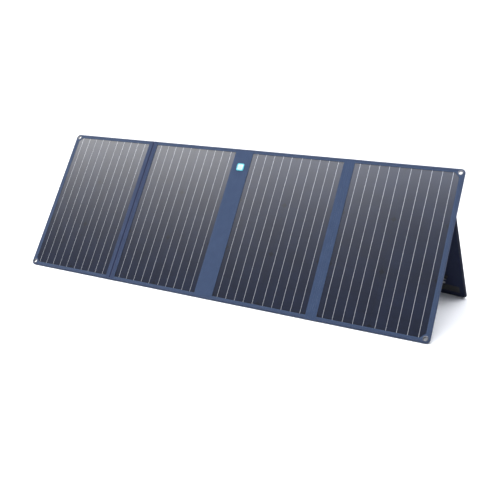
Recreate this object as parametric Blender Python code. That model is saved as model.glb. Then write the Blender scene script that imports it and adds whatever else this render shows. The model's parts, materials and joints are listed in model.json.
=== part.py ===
"""Folding fabric solar panel: four rigid sections in a row, standing tilted back on three rear kickstands.

Panel frame, used for every shape below: x runs along the panel from its middle, y is the depth behind the
front face, and z runs up the face from its lower edge. The panel_root empty tilts that frame back and stands
it on z = 0.
"""

import math

import bmesh
import bpy
from mathutils import Matrix, Vector

MM = 0.001

# Driving dimensions of the open panel.
LENGTH = 1446 * MM
HEIGHT = 525 * MM
TILT = math.radians(54.6)          # the face's slope from the ground
SIDE_BORDER = 15.4 * MM            # fabric beside the outermost windows
END_BORDER = 10.5 * MM             # fabric above and below every window
WINDOW_WIDTH = 320 * MM
FOLD_STRIP = 35 * MM               # fabric between the windows at the outer folds
SPINE_STRIP = LENGTH - 2 * (SIDE_BORDER + FOLD_STRIP) - 4 * WINDOW_WIDTH
FRAME_LIP = 4.8 * MM               # fabric beside a window on its fold side
SPINE_LIP = 14.9 * MM              # and on its side towards the spine
CORNER_RADIUS = 13 * MM
GAP = 0.3 * MM                     # clearance between neighbouring pieces
ARC_STEPS = 6                      # straight pieces in a quarter of a round corner

# Layers of one section, as depths behind its front face.
FRAME_BACK = 0.6 * MM
SHEET = (0.9 * MM, 1.3 * MM)
CELLS = (1.6 * MM, 2.1 * MM)
BOARD = (2.4 * MM, 3.9 * MM)
THICKNESS = 4.8 * MM
COVER_WALL = 0.6 * MM
COVER_FLOOR = THICKNESS - COVER_WALL
SKIN = 1.2 * MM                    # fabric at the folds, two layers sewn together
LAYER_INSET = COVER_WALL + GAP

# Solar cells: two columns of three on each section.
COLUMN_PITCH = 159.68 * MM
ROW_PITCH = 164.9 * MM
CELL_GAP = 0.8 * MM
CELL_CORNER = 8.3 * MM
RIBBONS_PER_COLUMN = 5
RIBBON_PITCH = 30.97 * MM
RIBBON_WIDTH = 1.4 * MM
RIBBON = (1.45 * MM, 1.75 * MM)
BUS_BAR = 4 * MM
BUS_BAR_FROM_END = 5 * MM
BUS_BAR_OVERHANG = 2 * MM          # past the outermost ribbons
BUS_BAR_SINK = 0.05 * MM           # of the bus bars into the ribbons

# Metal eyelets at the four outer corners.
EYELET_FROM_SIDE = 13.7 * MM
EYELET_FROM_END = 12.5 * MM
EYELET_HOLE = 4.9 * MM
EYELET_BARREL = 5.5 * MM
EYELET_FLANGE = 8 * MM
EYELET_LIFT = 0.15 * MM
EYELET_FLANGE_THICKNESS = 0.4 * MM
EYELET_BEVEL = 0.2 * MM
EYELET_SEGMENTS = 24
WINDOW_CORNER_CUT = 14 * MM
LAYER_CORNER_CUT = 33 * MM

# Folds: the hinge lines lie just in front of the face, so that the fronts close on each other.
FOLD_AXIS_DEPTH = -0.75 * MM
SPINE_HINGE = 15.4 * MM            # from the middle to each hinge line, clear of the folded outer ends
SPINE_BOARD_INSET = 3.5 * MM
LEAD_WIDTH = 12 * MM               # of the flat power lead across a fold
LEAD_HEIGHT = 90 * MM              # of its middle, up the face

# Kickstands.
LEG_WIDTH = 240 * MM
LEG_THICKNESS = 4 * MM
LEG_WALL = 0.8 * MM
LEG_OPEN = math.radians(61.5)
LEG_SLANT = math.radians(12)
LEG_HINGE_DEPTH = THICKNESS + 2.2 * MM
LEG_HINGE_HEIGHT = 400 * MM        # of the hinge line's outer end, up the face
LEG_HINGE_X = 714 * MM             # of that end, from the middle
LEG_TOP_GAP = 2 * MM
LEG_FOOT_RADIUS = 15 * MM
PATCH_SIZE = (198 * MM, 25 * MM)
PATCH_FROM_FOOT = 33 * MM          # patch centre to foot, along the leg
PATCH_DEPTH = 1.1 * MM
SNAP_RADIUS = 5 * MM
SNAP_THICKNESS = 1.4 * MM
SNAP_SEGMENTS = 16
SNAP_FROM_EDGE = 71 * MM
SNAP_FROM_HINGE = 305 * MM
STRAP_WIDTH = 20 * MM
STRAP_THICKNESS = 1.2 * MM
STRAP_FROM_SNAP = 14 * MM          # the strap's lower end to the snap's middle
STRAP_TOP_HEIGHT = 232 * MM        # where the strap leaves the panel's back
STRAP_TOP_INWARD = SNAP_FROM_EDGE + 8 * MM
STRAP_TOP_CLEARANCE = 1.5 * MM     # strap to back cover
STRAP_FOOT_CLEARANCE = 3 * MM      # strap to sleeve

# Cable pouch on the back of the inner right section, with the charge controller in it.
POUCH_SIZE = (220 * MM, 30 * MM, 170 * MM)
POUCH_BOTTOM = 190 * MM
POUCH_WALL = 1.4 * MM
POUCH_RADIUS = 18 * MM
ZIP_LENGTH = 180 * MM
ZIP_WIDTH = 9 * MM
ZIP_TEETH_WIDTH = 3 * MM
ZIP_TEETH_RISE = 0.8 * MM
SLIDER_SIZE = (9 * MM, 7 * MM, 4 * MM)
SLIDER_FROM_END = 3 * MM
PULL_SIZE = (22 * MM, 5 * MM, 1.4 * MM)
PULL_INSET = (2 * MM, 0.2 * MM)    # of the pull into the slider, and under its top
CONTROLLER_SIZE = (110 * MM, 18 * MM, 70 * MM)
CONTROLLER_WALL = 2 * MM
CONTROLLER_LEFT = 40 * MM          # of its left end from the pouch's middle
CONTROLLER_LIFT = 40 * MM          # above the pouch's lower end
PORT_WALL = 0.8 * MM
PORT_DEPTH = 9 * MM

# Carrying handle on the spine, and the sun dial on its front.
HANDLE_WIDTH = 25 * MM
HANDLE_SPAN = 150 * MM
HANDLE_RISE = 26 * MM
HANDLE_THICKNESS = 3 * MM
HANDLE_FOOT = 22 * MM
HANDLE_BEND = 16 * MM
HANDLE_FOOT_RADIUS = 3 * MM
DIAL_SIZE = 26 * MM
DIAL_BELOW_TOP = 66 * MM
DIAL_LIFT = 2 * MM
DIAL_RIM = 4 * MM
DIAL_CORNER = 5 * MM


def clear_scene():
    for old in list(bpy.data.objects):
        bpy.data.objects.remove(old)


def material(name, colour, roughness, metallic=0.0):
    made = bpy.data.materials.new(name)
    made.use_nodes = True
    shader = made.node_tree.nodes["Principled BSDF"]
    shader.inputs["Base Color"].default_value = (*colour, 1.0)
    shader.inputs["Roughness"].default_value = roughness
    shader.inputs["Metallic"].default_value = metallic
    return made


def panel_materials():
    return {
        "canvas": material("canvas", (0.060, 0.085, 0.155), 0.85),
        "clear_sheet": material("clear_sheet", (0.75, 0.78, 0.82), 0.15),
        "silicon": material("silicon", (0.018, 0.022, 0.045), 0.3),
        "board": material("board", (0.045, 0.050, 0.040), 0.6),
        "lining": material("lining", (0.014, 0.016, 0.030), 0.9),
        "webbing": material("webbing", (0.012, 0.012, 0.013), 0.85),
        "steel": material("steel", (0.60, 0.61, 0.63), 0.3, 1.0),
        "black_plastic": material("black_plastic", (0.020, 0.020, 0.022), 0.45),
        "cyan_plastic": material("cyan_plastic", (0.10, 0.62, 0.68), 0.35),
        "white_plastic": material("white_plastic", (0.80, 0.82, 0.83), 0.4),
    }


def empty_at(name, parent, place):
    made = bpy.data.objects.new(name, None)
    bpy.context.collection.objects.link(made)
    made.parent = parent
    made.matrix_local = place
    return made


class Body:
    """A rigid group of pieces. Its empty and the origin of every piece in it lie on its joint's axis."""

    def __init__(self, name, parent, pivot, turned=None):
        self.frame = Matrix.Translation(pivot)
        if turned is not None:
            self.frame = self.frame @ turned
        above = parent.frame if parent else Matrix()
        self.empty = empty_at(name, parent.empty if parent else None, above.inverted() @ self.frame)

    def add(self, name, mesh, finish, local=False, smooth=False):
        """Makes mesh a piece of this body. Unless it is local, the mesh is in the panel frame."""
        if not local:
            mesh.transform(self.frame.inverted())
        piece = bpy.data.objects.new(name, mesh)
        bpy.context.collection.objects.link(piece)
        piece.parent = self.empty
        mesh.materials.clear()
        mesh.materials.append(FINISH[finish])
        if smooth:
            mesh.shade_smooth()
            mesh.set_sharp_from_angle(angle=math.radians(35))
        return piece


def rounded(corners):
    """Outline through corners given as (x, y, radius), with an arc at each one that has a radius."""
    outline = []
    for i, (x, y, radius) in enumerate(corners):
        here = Vector((x, y))
        if not radius:
            outline.append(here)
            continue
        before = (Vector(corners[i - 1][:2]) - here).normalized()
        after = (Vector(corners[(i + 1) % len(corners)][:2]) - here).normalized()
        half = before.angle(after) / 2
        centre = here + (before + after).normalized() * (radius / math.sin(half))
        start = here + before * (radius / math.tan(half)) - centre
        end = here + after * (radius / math.tan(half)) - centre
        sweep = start.angle_signed(end)
        for step in range(ARC_STEPS + 1):
            turn = Matrix.Rotation(-sweep * step / ARC_STEPS, 2)
            outline.append(centre + turn @ start)
    return outline


def rectangle(x0, x1, y0, y1, radius=0.0):
    return rounded([(x0, y0, radius), (x1, y0, radius), (x1, y1, radius), (x0, y1, radius)])


def circle(x, y, radius, segments=EYELET_SEGMENTS):
    angles = [2 * math.pi * i / segments for i in range(segments)]
    return [Vector((x + radius * math.cos(angle), y + radius * math.sin(angle))) for angle in angles]


def cut_rectangle(x0, x1, y0, y1, left, right):
    """A rectangle with its two left and its two right corners cut off by these lengths."""
    corners = [(x0 + left, y0), (x1 - right, y0), (x1, y0 + right), (x1, y1 - right)]
    corners += [(x1 - right, y1), (x0 + left, y1), (x0, y1 - left), (x0, y0 + left)]
    outline = []
    for corner in corners:
        if Vector(corner) not in outline:
            outline.append(Vector(corner))
    return outline


def extruded(outlines, low, high, along="y"):
    """Closed mesh between two depths, from an outer outline and the holes in it.

    Along y the outlines lie in the face, as (x, z). Along x they lie in a side view, as (y, z).
    """
    curve = bpy.data.curves.new("outline", "CURVE")
    curve.dimensions = "2D"
    curve.fill_mode = "BOTH"
    curve.extrude = (high - low) / 2
    for outline in outlines:
        spline = curve.splines.new("POLY")
        spline.points.add(len(outline) - 1)
        for point, (x, y) in zip(spline.points, outline):
            point.co = (x, y, 0, 1)
        spline.use_cyclic_u = True
    drawn = bpy.data.objects.new("outline", curve)
    mesh = bpy.data.meshes.new_from_object(drawn)
    bpy.data.objects.remove(drawn)
    bpy.data.curves.remove(curve)
    middle = (high + low) / 2
    if along == "y":
        mesh.transform(Matrix.Translation((0, middle, 0)) @ Matrix.Rotation(math.pi / 2, 4, "X"))
    else:
        side_view = Matrix(((0, 0, 1), (1, 0, 0), (0, 1, 0))).to_4x4()
        mesh.transform(Matrix.Translation((middle, 0, 0)) @ side_view)
    return closed(mesh)


def closed(mesh):
    """Joins the caps to the sides and turns every face out."""
    shape = bmesh.new()
    shape.from_mesh(mesh)
    bmesh.ops.remove_doubles(shape, verts=shape.verts, dist=0.001 * MM)
    bmesh.ops.recalc_face_normals(shape, faces=shape.faces)
    shape.to_mesh(mesh)
    shape.free()
    return mesh


def combined(first, second, operation):
    """The mesh left by a Boolean of two closed meshes."""
    target = bpy.data.objects.new("target", first)
    tool = bpy.data.objects.new("tool", second)
    for piece in (target, tool):
        bpy.context.collection.objects.link(piece)
    step = target.modifiers.new("combine", "BOOLEAN")
    step.operation = operation
    step.solver = "EXACT"
    step.object = tool
    bpy.context.view_layer.update()
    graph = bpy.context.evaluated_depsgraph_get()
    result = bpy.data.meshes.new_from_object(target.evaluated_get(graph))
    for piece in (target, tool):
        bpy.data.objects.remove(piece)
    return result


def joined(meshes):
    result = meshes[0]
    for mesh in meshes[1:]:
        result = combined(result, mesh, "UNION")
    return result


def box(x0, x1, y0, y1, z0, z1):
    return extruded([rectangle(x0, x1, z0, z1)], y0, y1)


def turned(profile, x, z, segments=EYELET_SEGMENTS):
    """A ring turned about a line along y through (x, z), from a closed profile of (radius, y)."""
    shape = bmesh.new()
    rings = []
    for i in range(segments):
        angle = 2 * math.pi * i / segments
        ring = [shape.verts.new((x + r * math.cos(angle), y, z + r * math.sin(angle))) for r, y in profile]
        rings.append(ring)
    for i, ring in enumerate(rings):
        following = rings[(i + 1) % segments]
        for j in range(len(profile)):
            k = (j + 1) % len(profile)
            shape.faces.new((ring[j], ring[k], following[k], following[j]))
    bmesh.ops.recalc_face_normals(shape, faces=shape.faces)
    mesh = bpy.data.meshes.new("turned")
    shape.to_mesh(mesh)
    shape.free()
    return mesh


def disc(x, z, radius, low, high, segments=EYELET_SEGMENTS):
    return extruded([circle(x, z, radius, segments)], low, high)


class Section:
    """Where one rigid section lies along x, and which of its sides is an outer end of the panel."""

    def __init__(self, name, window_left, borders, outer=""):
        self.name = name
        self.outer = outer
        self.window = (window_left, window_left + WINDOW_WIDTH)
        self.edge = (self.window[0] - borders[0], self.window[1] + borders[1])
        self.middle = sum(self.window) / 2

    def outline(self, inset=0.0):
        left = CORNER_RADIUS if self.outer == "left" else 0
        right = CORNER_RADIUS if self.outer == "right" else 0
        x0, x1 = self.edge[0] + inset, self.edge[1] - inset
        z0, z1 = inset, HEIGHT - inset
        left = max(left - inset, 0)
        right = max(right - inset, 0)
        return rounded([(x0, z0, left), (x1, z0, right), (x1, z1, right), (x0, z1, left)])

    def corner_cuts(self, amount):
        return (amount if self.outer == "left" else 0, amount if self.outer == "right" else 0)

    def eyelets(self):
        if not self.outer:
            return []
        side = self.edge[0] + EYELET_FROM_SIDE if self.outer == "left" else self.edge[1] - EYELET_FROM_SIDE
        return [("lower", side, EYELET_FROM_END), ("upper", side, HEIGHT - EYELET_FROM_END)]

    def eyelet_holes(self):
        return [circle(x, z, EYELET_BARREL + GAP) for _, x, z in self.eyelets()]


def sections():
    first = -LENGTH / 2 + SIDE_BORDER
    second = first + WINDOW_WIDTH + FOLD_STRIP
    third = second + WINDOW_WIDTH + SPINE_STRIP
    fourth = third + WINDOW_WIDTH + FOLD_STRIP
    return {
        "outer_left": Section("outer_left", first, (SIDE_BORDER, FRAME_LIP), "left"),
        "inner_left": Section("inner_left", second, (FRAME_LIP, SPINE_LIP)),
        "inner_right": Section("inner_right", third, (SPINE_LIP, FRAME_LIP)),
        "outer_right": Section("outer_right", fourth, (FRAME_LIP, SIDE_BORDER), "right"),
    }


def front_frame(section):
    """The face fabric, with its window and the eyelets' holes."""
    window = cut_rectangle(
        *section.window, END_BORDER, HEIGHT - END_BORDER, *section.corner_cuts(WINDOW_CORNER_CUT)
    )
    return extruded([section.outline(), window] + section.eyelet_holes(), 0, FRAME_BACK)


def back_cover(section):
    """The back fabric as a shallow tray: its rim closes the section's sides."""
    block = extruded([section.outline()] + section.eyelet_holes(), SHEET[0], THICKNESS)
    hollow = extruded([section.outline(COVER_WALL)], -THICKNESS, COVER_FLOOR)
    return combined(block, hollow, "DIFFERENCE")


def layer(section, depths):
    """A flat layer inside the back cover's rim, with its corners cut off beside the eyelets."""
    x0, x1 = section.edge[0] + LAYER_INSET, section.edge[1] - LAYER_INSET
    return extruded(
        [cut_rectangle(x0, x1, LAYER_INSET, HEIGHT - LAYER_INSET, *section.corner_cuts(LAYER_CORNER_CUT))],
        *depths,
    )


def ribbon_places(section):
    """x of each ribbon's middle, across both columns of cells."""
    places = []
    for column in (-0.5, 0.5):
        for i in range(RIBBONS_PER_COLUMN):
            from_middle = (i - (RIBBONS_PER_COLUMN - 1) / 2) * RIBBON_PITCH
            places.append(section.middle + column * COLUMN_PITCH + from_middle)
    return places


def cell_string(section):
    """Six cells in two columns, held together by the ribbons soldered down their fronts and the bus bars."""
    half_width = (COLUMN_PITCH - CELL_GAP) / 2
    half_height = (ROW_PITCH - CELL_GAP) / 2
    solids = []
    for column in (-0.5, 0.5):
        for row in (-1, 0, 1):
            x = section.middle + column * COLUMN_PITCH
            z = HEIGHT / 2 + row * ROW_PITCH
            cell = cut_rectangle(
                x - half_width, x + half_width, z - half_height, z + half_height, CELL_CORNER, CELL_CORNER
            )
            solids.append(extruded([cell], *CELLS))
    places = ribbon_places(section)
    low, high = BUS_BAR_FROM_END + BUS_BAR / 2, HEIGHT - BUS_BAR_FROM_END - BUS_BAR / 2
    for x in places:
        solids.append(box(x - RIBBON_WIDTH / 2, x + RIBBON_WIDTH / 2, *RIBBON, low, high))
    top = HEIGHT - BUS_BAR_FROM_END - BUS_BAR
    bar_depths = (RIBBON[0] + BUS_BAR_SINK, RIBBON[1] + BUS_BAR_SINK)
    ends = (places[0] - BUS_BAR_OVERHANG, places[-1] + BUS_BAR_OVERHANG)
    solids.append(box(*ends, *bar_depths, top, top + BUS_BAR))
    for column in (places[:RIBBONS_PER_COLUMN], places[RIBBONS_PER_COLUMN:]):
        ends = (column[0] - BUS_BAR_OVERHANG, column[-1] + BUS_BAR_OVERHANG)
        solids.append(box(*ends, *bar_depths, BUS_BAR_FROM_END, BUS_BAR_FROM_END + BUS_BAR))
    return joined(solids)


def eyelet(x, z):
    """A crimped eyelet: a barrel with a flange in front and one behind."""
    front = -EYELET_LIFT
    back = THICKNESS + EYELET_LIFT
    lip = EYELET_FLANGE_THICKNESS
    bevel = EYELET_BEVEL
    profile = [
        (EYELET_HOLE, front - lip + bevel),
        (EYELET_HOLE + bevel, front - lip),
        (EYELET_FLANGE - 2 * bevel, front - lip),
        (EYELET_FLANGE, front),
        (EYELET_BARREL, front),
        (EYELET_BARREL, back),
        (EYELET_FLANGE, back),
        (EYELET_FLANGE - 2 * bevel, back + lip),
        (EYELET_HOLE + bevel, back + lip),
        (EYELET_HOLE, back + lip - bevel),
    ]
    return turned(profile, x, z)


def build_section(section, body):
    body.add(f"{section.name}_front_frame", front_frame(section), "canvas")
    body.add(f"{section.name}_front_sheet", layer(section, SHEET), "clear_sheet")
    body.add(f"{section.name}_cell_string", cell_string(section), "silicon")
    body.add(f"{section.name}_stiffener", layer(section, BOARD), "board")
    body.add(f"{section.name}_back_cover", back_cover(section), "canvas")
    for place, x, z in section.eyelets():
        body.add(f"{section.name}_{place}_eyelet", eyelet(x, z), "steel", smooth=True)


def fold_strip(x0, x1, name, body):
    """The fabric across a fold, front and back, and the flat power lead between them."""
    x0, x1 = x0 + GAP, x1 - GAP
    body.add(f"{name}_front", box(x0, x1, 0, SKIN, 0, HEIGHT), "canvas")
    body.add(f"{name}_back", box(x0, x1, THICKNESS - SKIN, THICKNESS, 0, HEIGHT), "canvas")
    low, high = LEAD_HEIGHT - LEAD_WIDTH / 2, LEAD_HEIGHT + LEAD_WIDTH / 2
    lead = box(x0, x1, SKIN + GAP, SKIN + 2 * GAP, low, high)
    body.add(f"{name}_lead", lead, "black_plastic")


def build_spine(left, right, body):
    x0, x1 = left.edge[1], right.edge[0]
    fold_strip(x0, x1, "spine", body)
    inset = SPINE_BOARD_INSET
    board = box(x0 + inset, x1 - inset, SKIN + 3 * GAP, BOARD[1] - SKIN / 2, inset, HEIGHT - inset)
    body.add("spine_stiffener", board, "board")
    build_handle(body)
    build_dial(body)


def build_handle(body):
    """A webbing handle bowed out from the back of the spine, its two feet sewn down."""
    base = THICKNESS + GAP
    middle = HEIGHT / 2
    half = HANDLE_SPAN / 2
    inner = half - HANDLE_FOOT
    top = base + HANDLE_RISE
    bend = HANDLE_BEND
    thick = HANDLE_THICKNESS
    outside = [
        (base, middle - half, 0),
        (base + thick, middle - half, 0),
        (base + thick, middle - inner - thick / 2, HANDLE_FOOT_RADIUS),
        (top, middle - inner + bend, 3 * bend / 2),
        (top, middle + inner - bend, 3 * bend / 2),
        (base + thick, middle + inner + thick / 2, HANDLE_FOOT_RADIUS),
        (base + thick, middle + half, 0),
        (base, middle + half, 0),
        (base, middle + inner, HANDLE_FOOT_RADIUS),
        (top - thick, middle + inner - bend - thick / 2, bend),
        (top - thick, middle - inner + bend + thick / 2, bend),
        (base, middle - inner, HANDLE_FOOT_RADIUS),
    ]
    arch = extruded([rounded(outside)], -HANDLE_WIDTH / 2, HANDLE_WIDTH / 2, along="x")
    body.add("carry_handle", arch, "webbing")


def build_dial(body):
    """The sun dial: a rounded coloured plate with a white face set on it."""
    z = HEIGHT - DIAL_BELOW_TOP
    half = DIAL_SIZE / 2
    recess_radius = half - DIAL_RIM
    recess_depth = -GAP - DIAL_LIFT / 2
    base = extruded([rectangle(-half, half, z - half, z + half, DIAL_CORNER)], -GAP - DIAL_LIFT, -GAP)
    recess = extruded([circle(0, z, recess_radius)], -2 * DIAL_LIFT, recess_depth)
    body.add("sun_dial_base", combined(base, recess, "DIFFERENCE"), "cyan_plastic")
    face = disc(0, z, recess_radius - GAP, -GAP - DIAL_LIFT, recess_depth - GAP / 2)
    body.add("sun_dial_face", face, "white_plastic")


class Leg:
    """A kickstand in its own frame: x along its hinge, y through its thickness, -z from hinge to foot.

    side is +1 or -1 for the leg at that end of the panel, whose hinge slants down outwards, and 0 for one
    that stands square. The hinge's end nearest that side is at (x, LEG_HINGE_HEIGHT) on the panel.
    """

    def __init__(self, name, side, x):
        self.name = name
        self.slant = side * LEG_SLANT
        self.side = side or 1
        self.pivot = Vector((x, LEG_HINGE_DEPTH, LEG_HINGE_HEIGHT))
        self.turned = Matrix.Rotation(self.slant, 4, "Y") @ Matrix.Rotation(LEG_OPEN, 4, "X")
        self.along = Vector((math.sin(self.slant), 0, -math.cos(self.slant)))

    def in_panel(self, point):
        return Matrix.Translation(self.pivot) @ self.turned @ point

    def height(self, point):
        """World height of a point in the leg's frame, over the panel's front lower edge."""
        at = self.in_panel(point)
        return at.z * math.sin(TILT) - at.y * math.cos(TILT)

    def at(self, inward, down, depth=0.0):
        """The point this far in from the leg's outer edge, and this far down beside that edge."""
        across = -self.side * inward / math.cos(self.slant)
        fallen = down + inward * math.tan(abs(self.slant))
        return Vector((across, depth, 0)) + self.along * fallen

    def reach(self, inward):
        """Length from the hinge to the ground, down a line this far in from the outer edge."""
        top = Vector((-self.side * inward / math.cos(self.slant), 0, 0))
        ground = -THICKNESS * math.cos(TILT)
        fall = self.height(top) - self.height(top + self.along)
        return (self.height(top) - ground) / fall

    def outline(self, inset=0.0, top=LEG_TOP_GAP):
        """Corners run from the outer edge's top round by the foot; the top edge is parallel to the hinge."""
        corners = []
        for inward, extra in ((inset, 0), (LEG_WIDTH - inset, 0)):
            start = Vector((-self.side * inward / math.cos(self.slant), 0, 0))
            head = start + self.along * (top / math.cos(self.slant))
            foot = start + self.along * (self.reach(inward) - inset)
            corners.append((head, foot))
        (head_out, foot_out), (head_in, foot_in) = corners
        radius = LEG_FOOT_RADIUS - inset
        return rounded(
            [
                (head_out.x, head_out.z, 0),
                (foot_out.x, foot_out.z, radius),
                (foot_in.x, foot_in.z, radius),
                (head_in.x, head_in.z, 0),
            ]
        )


def leg_sleeve(leg):
    """The leg's fabric, a flat pocket open along its hinge edge."""
    block = extruded([leg.outline()], 0, LEG_THICKNESS)
    pocket = extruded([leg.outline(LEG_WALL, top=-LEG_TOP_GAP)], LEG_WALL, LEG_THICKNESS - LEG_WALL)
    return combined(block, pocket, "DIFFERENCE")


def build_leg(leg, body):
    body.add(f"{leg.name}_sleeve", leg_sleeve(leg), "lining", local=True)
    inside = LEG_WALL + GAP
    board = extruded([leg.outline(inside, top=LEG_TOP_GAP + GAP)], inside, LEG_THICKNESS - inside)
    body.add(f"{leg.name}_board", board, "board", local=True)
    build_leg_patch(leg, body)
    build_leg_snap(leg, body)
    build_leg_strap(leg, body)


def build_leg_patch(leg, body):
    """The hook-and-loop strip near the foot that holds the folded leg to the panel's back."""
    margin = (LEG_WIDTH - PATCH_SIZE[0]) / 2
    corners = []
    for inward, sign in ((margin, -1), (margin, 1), (LEG_WIDTH - margin, 1), (LEG_WIDTH - margin, -1)):
        start = Vector((-leg.side * inward / math.cos(leg.slant), 0, 0))
        down = leg.reach(inward) - PATCH_FROM_FOOT + sign * PATCH_SIZE[1] / 2
        corner = start + leg.along * down
        corners.append((corner.x, corner.z, 0))
    patch = extruded([rounded(corners)], -GAP - PATCH_DEPTH, -GAP)
    body.add(f"{leg.name}_grip_patch", patch, "webbing", local=True)


def build_leg_snap(leg, body):
    centre = leg.at(SNAP_FROM_EDGE, SNAP_FROM_HINGE)
    snap = disc(centre.x, centre.z, SNAP_RADIUS, -GAP - SNAP_THICKNESS, -GAP, SNAP_SEGMENTS)
    body.add(f"{leg.name}_snap", snap, "steel", local=True, smooth=True)


def build_leg_strap(leg, body):
    """The webbing that stops the leg at its open angle, taut from the panel's back to the leg."""
    lower = leg.in_panel(leg.at(SNAP_FROM_EDGE, SNAP_FROM_HINGE - STRAP_FROM_SNAP, -STRAP_FOOT_CLEARANCE))
    inward = -leg.side * STRAP_TOP_INWARD
    upper = Vector((leg.pivot.x + inward, THICKNESS + STRAP_TOP_CLEARANCE, STRAP_TOP_HEIGHT))
    run = (lower - upper).normalized()
    across = Vector((1, 0, 0))
    across = (across - run * across.dot(run)).normalized()
    through = run.cross(across)
    place = Matrix((across, through, run)).transposed().to_4x4()
    place.translation = upper
    half = STRAP_WIDTH / 2
    strap = box(-half, half, -STRAP_THICKNESS / 2, STRAP_THICKNESS / 2, 0, (lower - upper).length)
    strap.transform(place)
    body.add(f"{leg.name}_strap", strap, "webbing")


def pouch_place(section):
    x = section.middle
    return x, THICKNESS + GAP, POUCH_BOTTOM


def pouch_shell(section):
    """A fabric box sewn to the back cover, open towards it, with the zip's slot in its upper wall."""
    x, y, z = pouch_place(section)
    half, depth, height = POUCH_SIZE[0] / 2, POUCH_SIZE[1], POUCH_SIZE[2]
    wall = POUCH_WALL
    block = extruded([rectangle(x - half, x + half, z, z + height, POUCH_RADIUS)], y, y + depth)
    inside = rectangle(x - half + wall, x + half - wall, z + wall, z + height - wall, POUCH_RADIUS - wall)
    hollow = extruded([inside], y - depth, y + depth - wall)
    shell = combined(block, hollow, "DIFFERENCE")
    middle = y + depth / 2
    slot = box(
        x - ZIP_LENGTH / 2, x + ZIP_LENGTH / 2, middle - ZIP_WIDTH / 2, middle + ZIP_WIDTH / 2,
        z + height - 2 * wall, z + height + wall,
    )
    return combined(shell, slot, "DIFFERENCE")


def zip_tape(section):
    """The closed zip, tape and teeth, lying in the pouch's slot."""
    x, y, z = pouch_place(section)
    middle = y + POUCH_SIZE[1] / 2
    top = z + POUCH_SIZE[2]
    half = ZIP_LENGTH / 2 - GAP
    tape_half = ZIP_WIDTH / 2 - GAP
    tape = box(x - half, x + half, middle - tape_half, middle + tape_half, top - POUCH_WALL, top)
    teeth = box(
        x - half + MM, x + half - MM,
        middle - ZIP_TEETH_WIDTH / 2, middle + ZIP_TEETH_WIDTH / 2,
        top - POUCH_WALL / 2, top + ZIP_TEETH_RISE,
    )
    return joined([tape, teeth])


def zip_slider(section):
    """The slider with its pull, parked at the zip's left end."""
    x, y, z = pouch_place(section)
    length, width, height = SLIDER_SIZE
    left = x - ZIP_LENGTH / 2 + SLIDER_FROM_END
    middle = y + POUCH_SIZE[1] / 2
    base = z + POUCH_SIZE[2] + ZIP_TEETH_RISE + GAP
    body = box(left, left + length, middle - width / 2, middle + width / 2, base, base + height)
    pull_length, pull_width, pull_thickness = PULL_SIZE
    pull_top = base + height - PULL_INSET[1]
    pull = box(
        left + length - PULL_INSET[0], left + length + pull_length,
        middle - pull_width / 2, middle + pull_width / 2,
        pull_top - pull_thickness, pull_top,
    )
    return joined([body, pull])


def controller_place(section):
    """Low corner of the controller, flat on the back cover inside the pouch."""
    return section.middle - CONTROLLER_LEFT, THICKNESS + GAP, POUCH_BOTTOM + CONTROLLER_LIFT


PORTS = {
    # name: (height up the case, opening width, opening height)
    "usb_a_port": (18 * MM, 13.2 * MM, 5.8 * MM),
    "usb_c_port": (36 * MM, 9.2 * MM, 3.4 * MM),
    "dc_port": (53 * MM, 7 * MM, 7 * MM),
}


def port_box(section, port, grow, start, end):
    x, y, z = controller_place(section)
    up, width, height = PORTS[port]
    middle = y + (CONTROLLER_SIZE[1] - 2 * CONTROLLER_WALL) / 2
    return box(
        x + start, x + end,
        middle - height / 2 - grow, middle + height / 2 + grow,
        z + up - width / 2 - grow, z + up + width / 2 + grow,
    )


def controller_case(section):
    """An open tray with a row of port openings in its left wall."""
    x, y, z = controller_place(section)
    length, depth, height = CONTROLLER_SIZE
    wall = CONTROLLER_WALL
    case = box(x, x + length, y, y + depth - wall - GAP, z, z + height)
    hollow = box(x + wall, x + length - wall, y + wall, y + depth + wall, z + wall, z + height - wall)
    case = combined(case, hollow, "DIFFERENCE")
    for port in PORTS:
        case = combined(case, port_box(section, port, PORT_WALL + GAP, -wall, 2 * wall), "DIFFERENCE")
    return case


def controller_lid(section):
    x, y, z = controller_place(section)
    length, depth, height = CONTROLLER_SIZE
    return box(x, x + length, y + depth - CONTROLLER_WALL, y + depth, z, z + height)


def port_shell(section, port):
    """A socket: a metal shell closed at its back."""
    shell = port_box(section, port, PORT_WALL, 0, PORT_DEPTH)
    return combined(shell, port_box(section, port, 0, -PORT_WALL, PORT_DEPTH - PORT_WALL), "DIFFERENCE")


def build_pouch(section, body):
    body.add("cable_pouch", pouch_shell(section), "canvas")
    body.add("pouch_zip", zip_tape(section), "webbing")
    body.add("controller_case", controller_case(section), "black_plastic")
    body.add("controller_lid", controller_lid(section), "black_plastic")
    for port in PORTS:
        body.add(port, port_shell(section, port), "steel")


def stand_on_floor(root):
    """Tilts the panel back and moves it so that its box stands on z = 0, centred on the origin."""
    root.matrix_world = Matrix.Rotation(TILT - math.pi / 2, 4, "X")
    bpy.context.view_layer.update()
    corners = [
        piece.matrix_world @ vertex.co
        for piece in bpy.data.objects
        if piece.type == "MESH"
        for vertex in piece.data.vertices
    ]
    back = max(corner.y for corner in corners)
    front = min(corner.y for corner in corners)
    root.location = (0, -(back + front) / 2, -min(corner.z for corner in corners))


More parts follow.
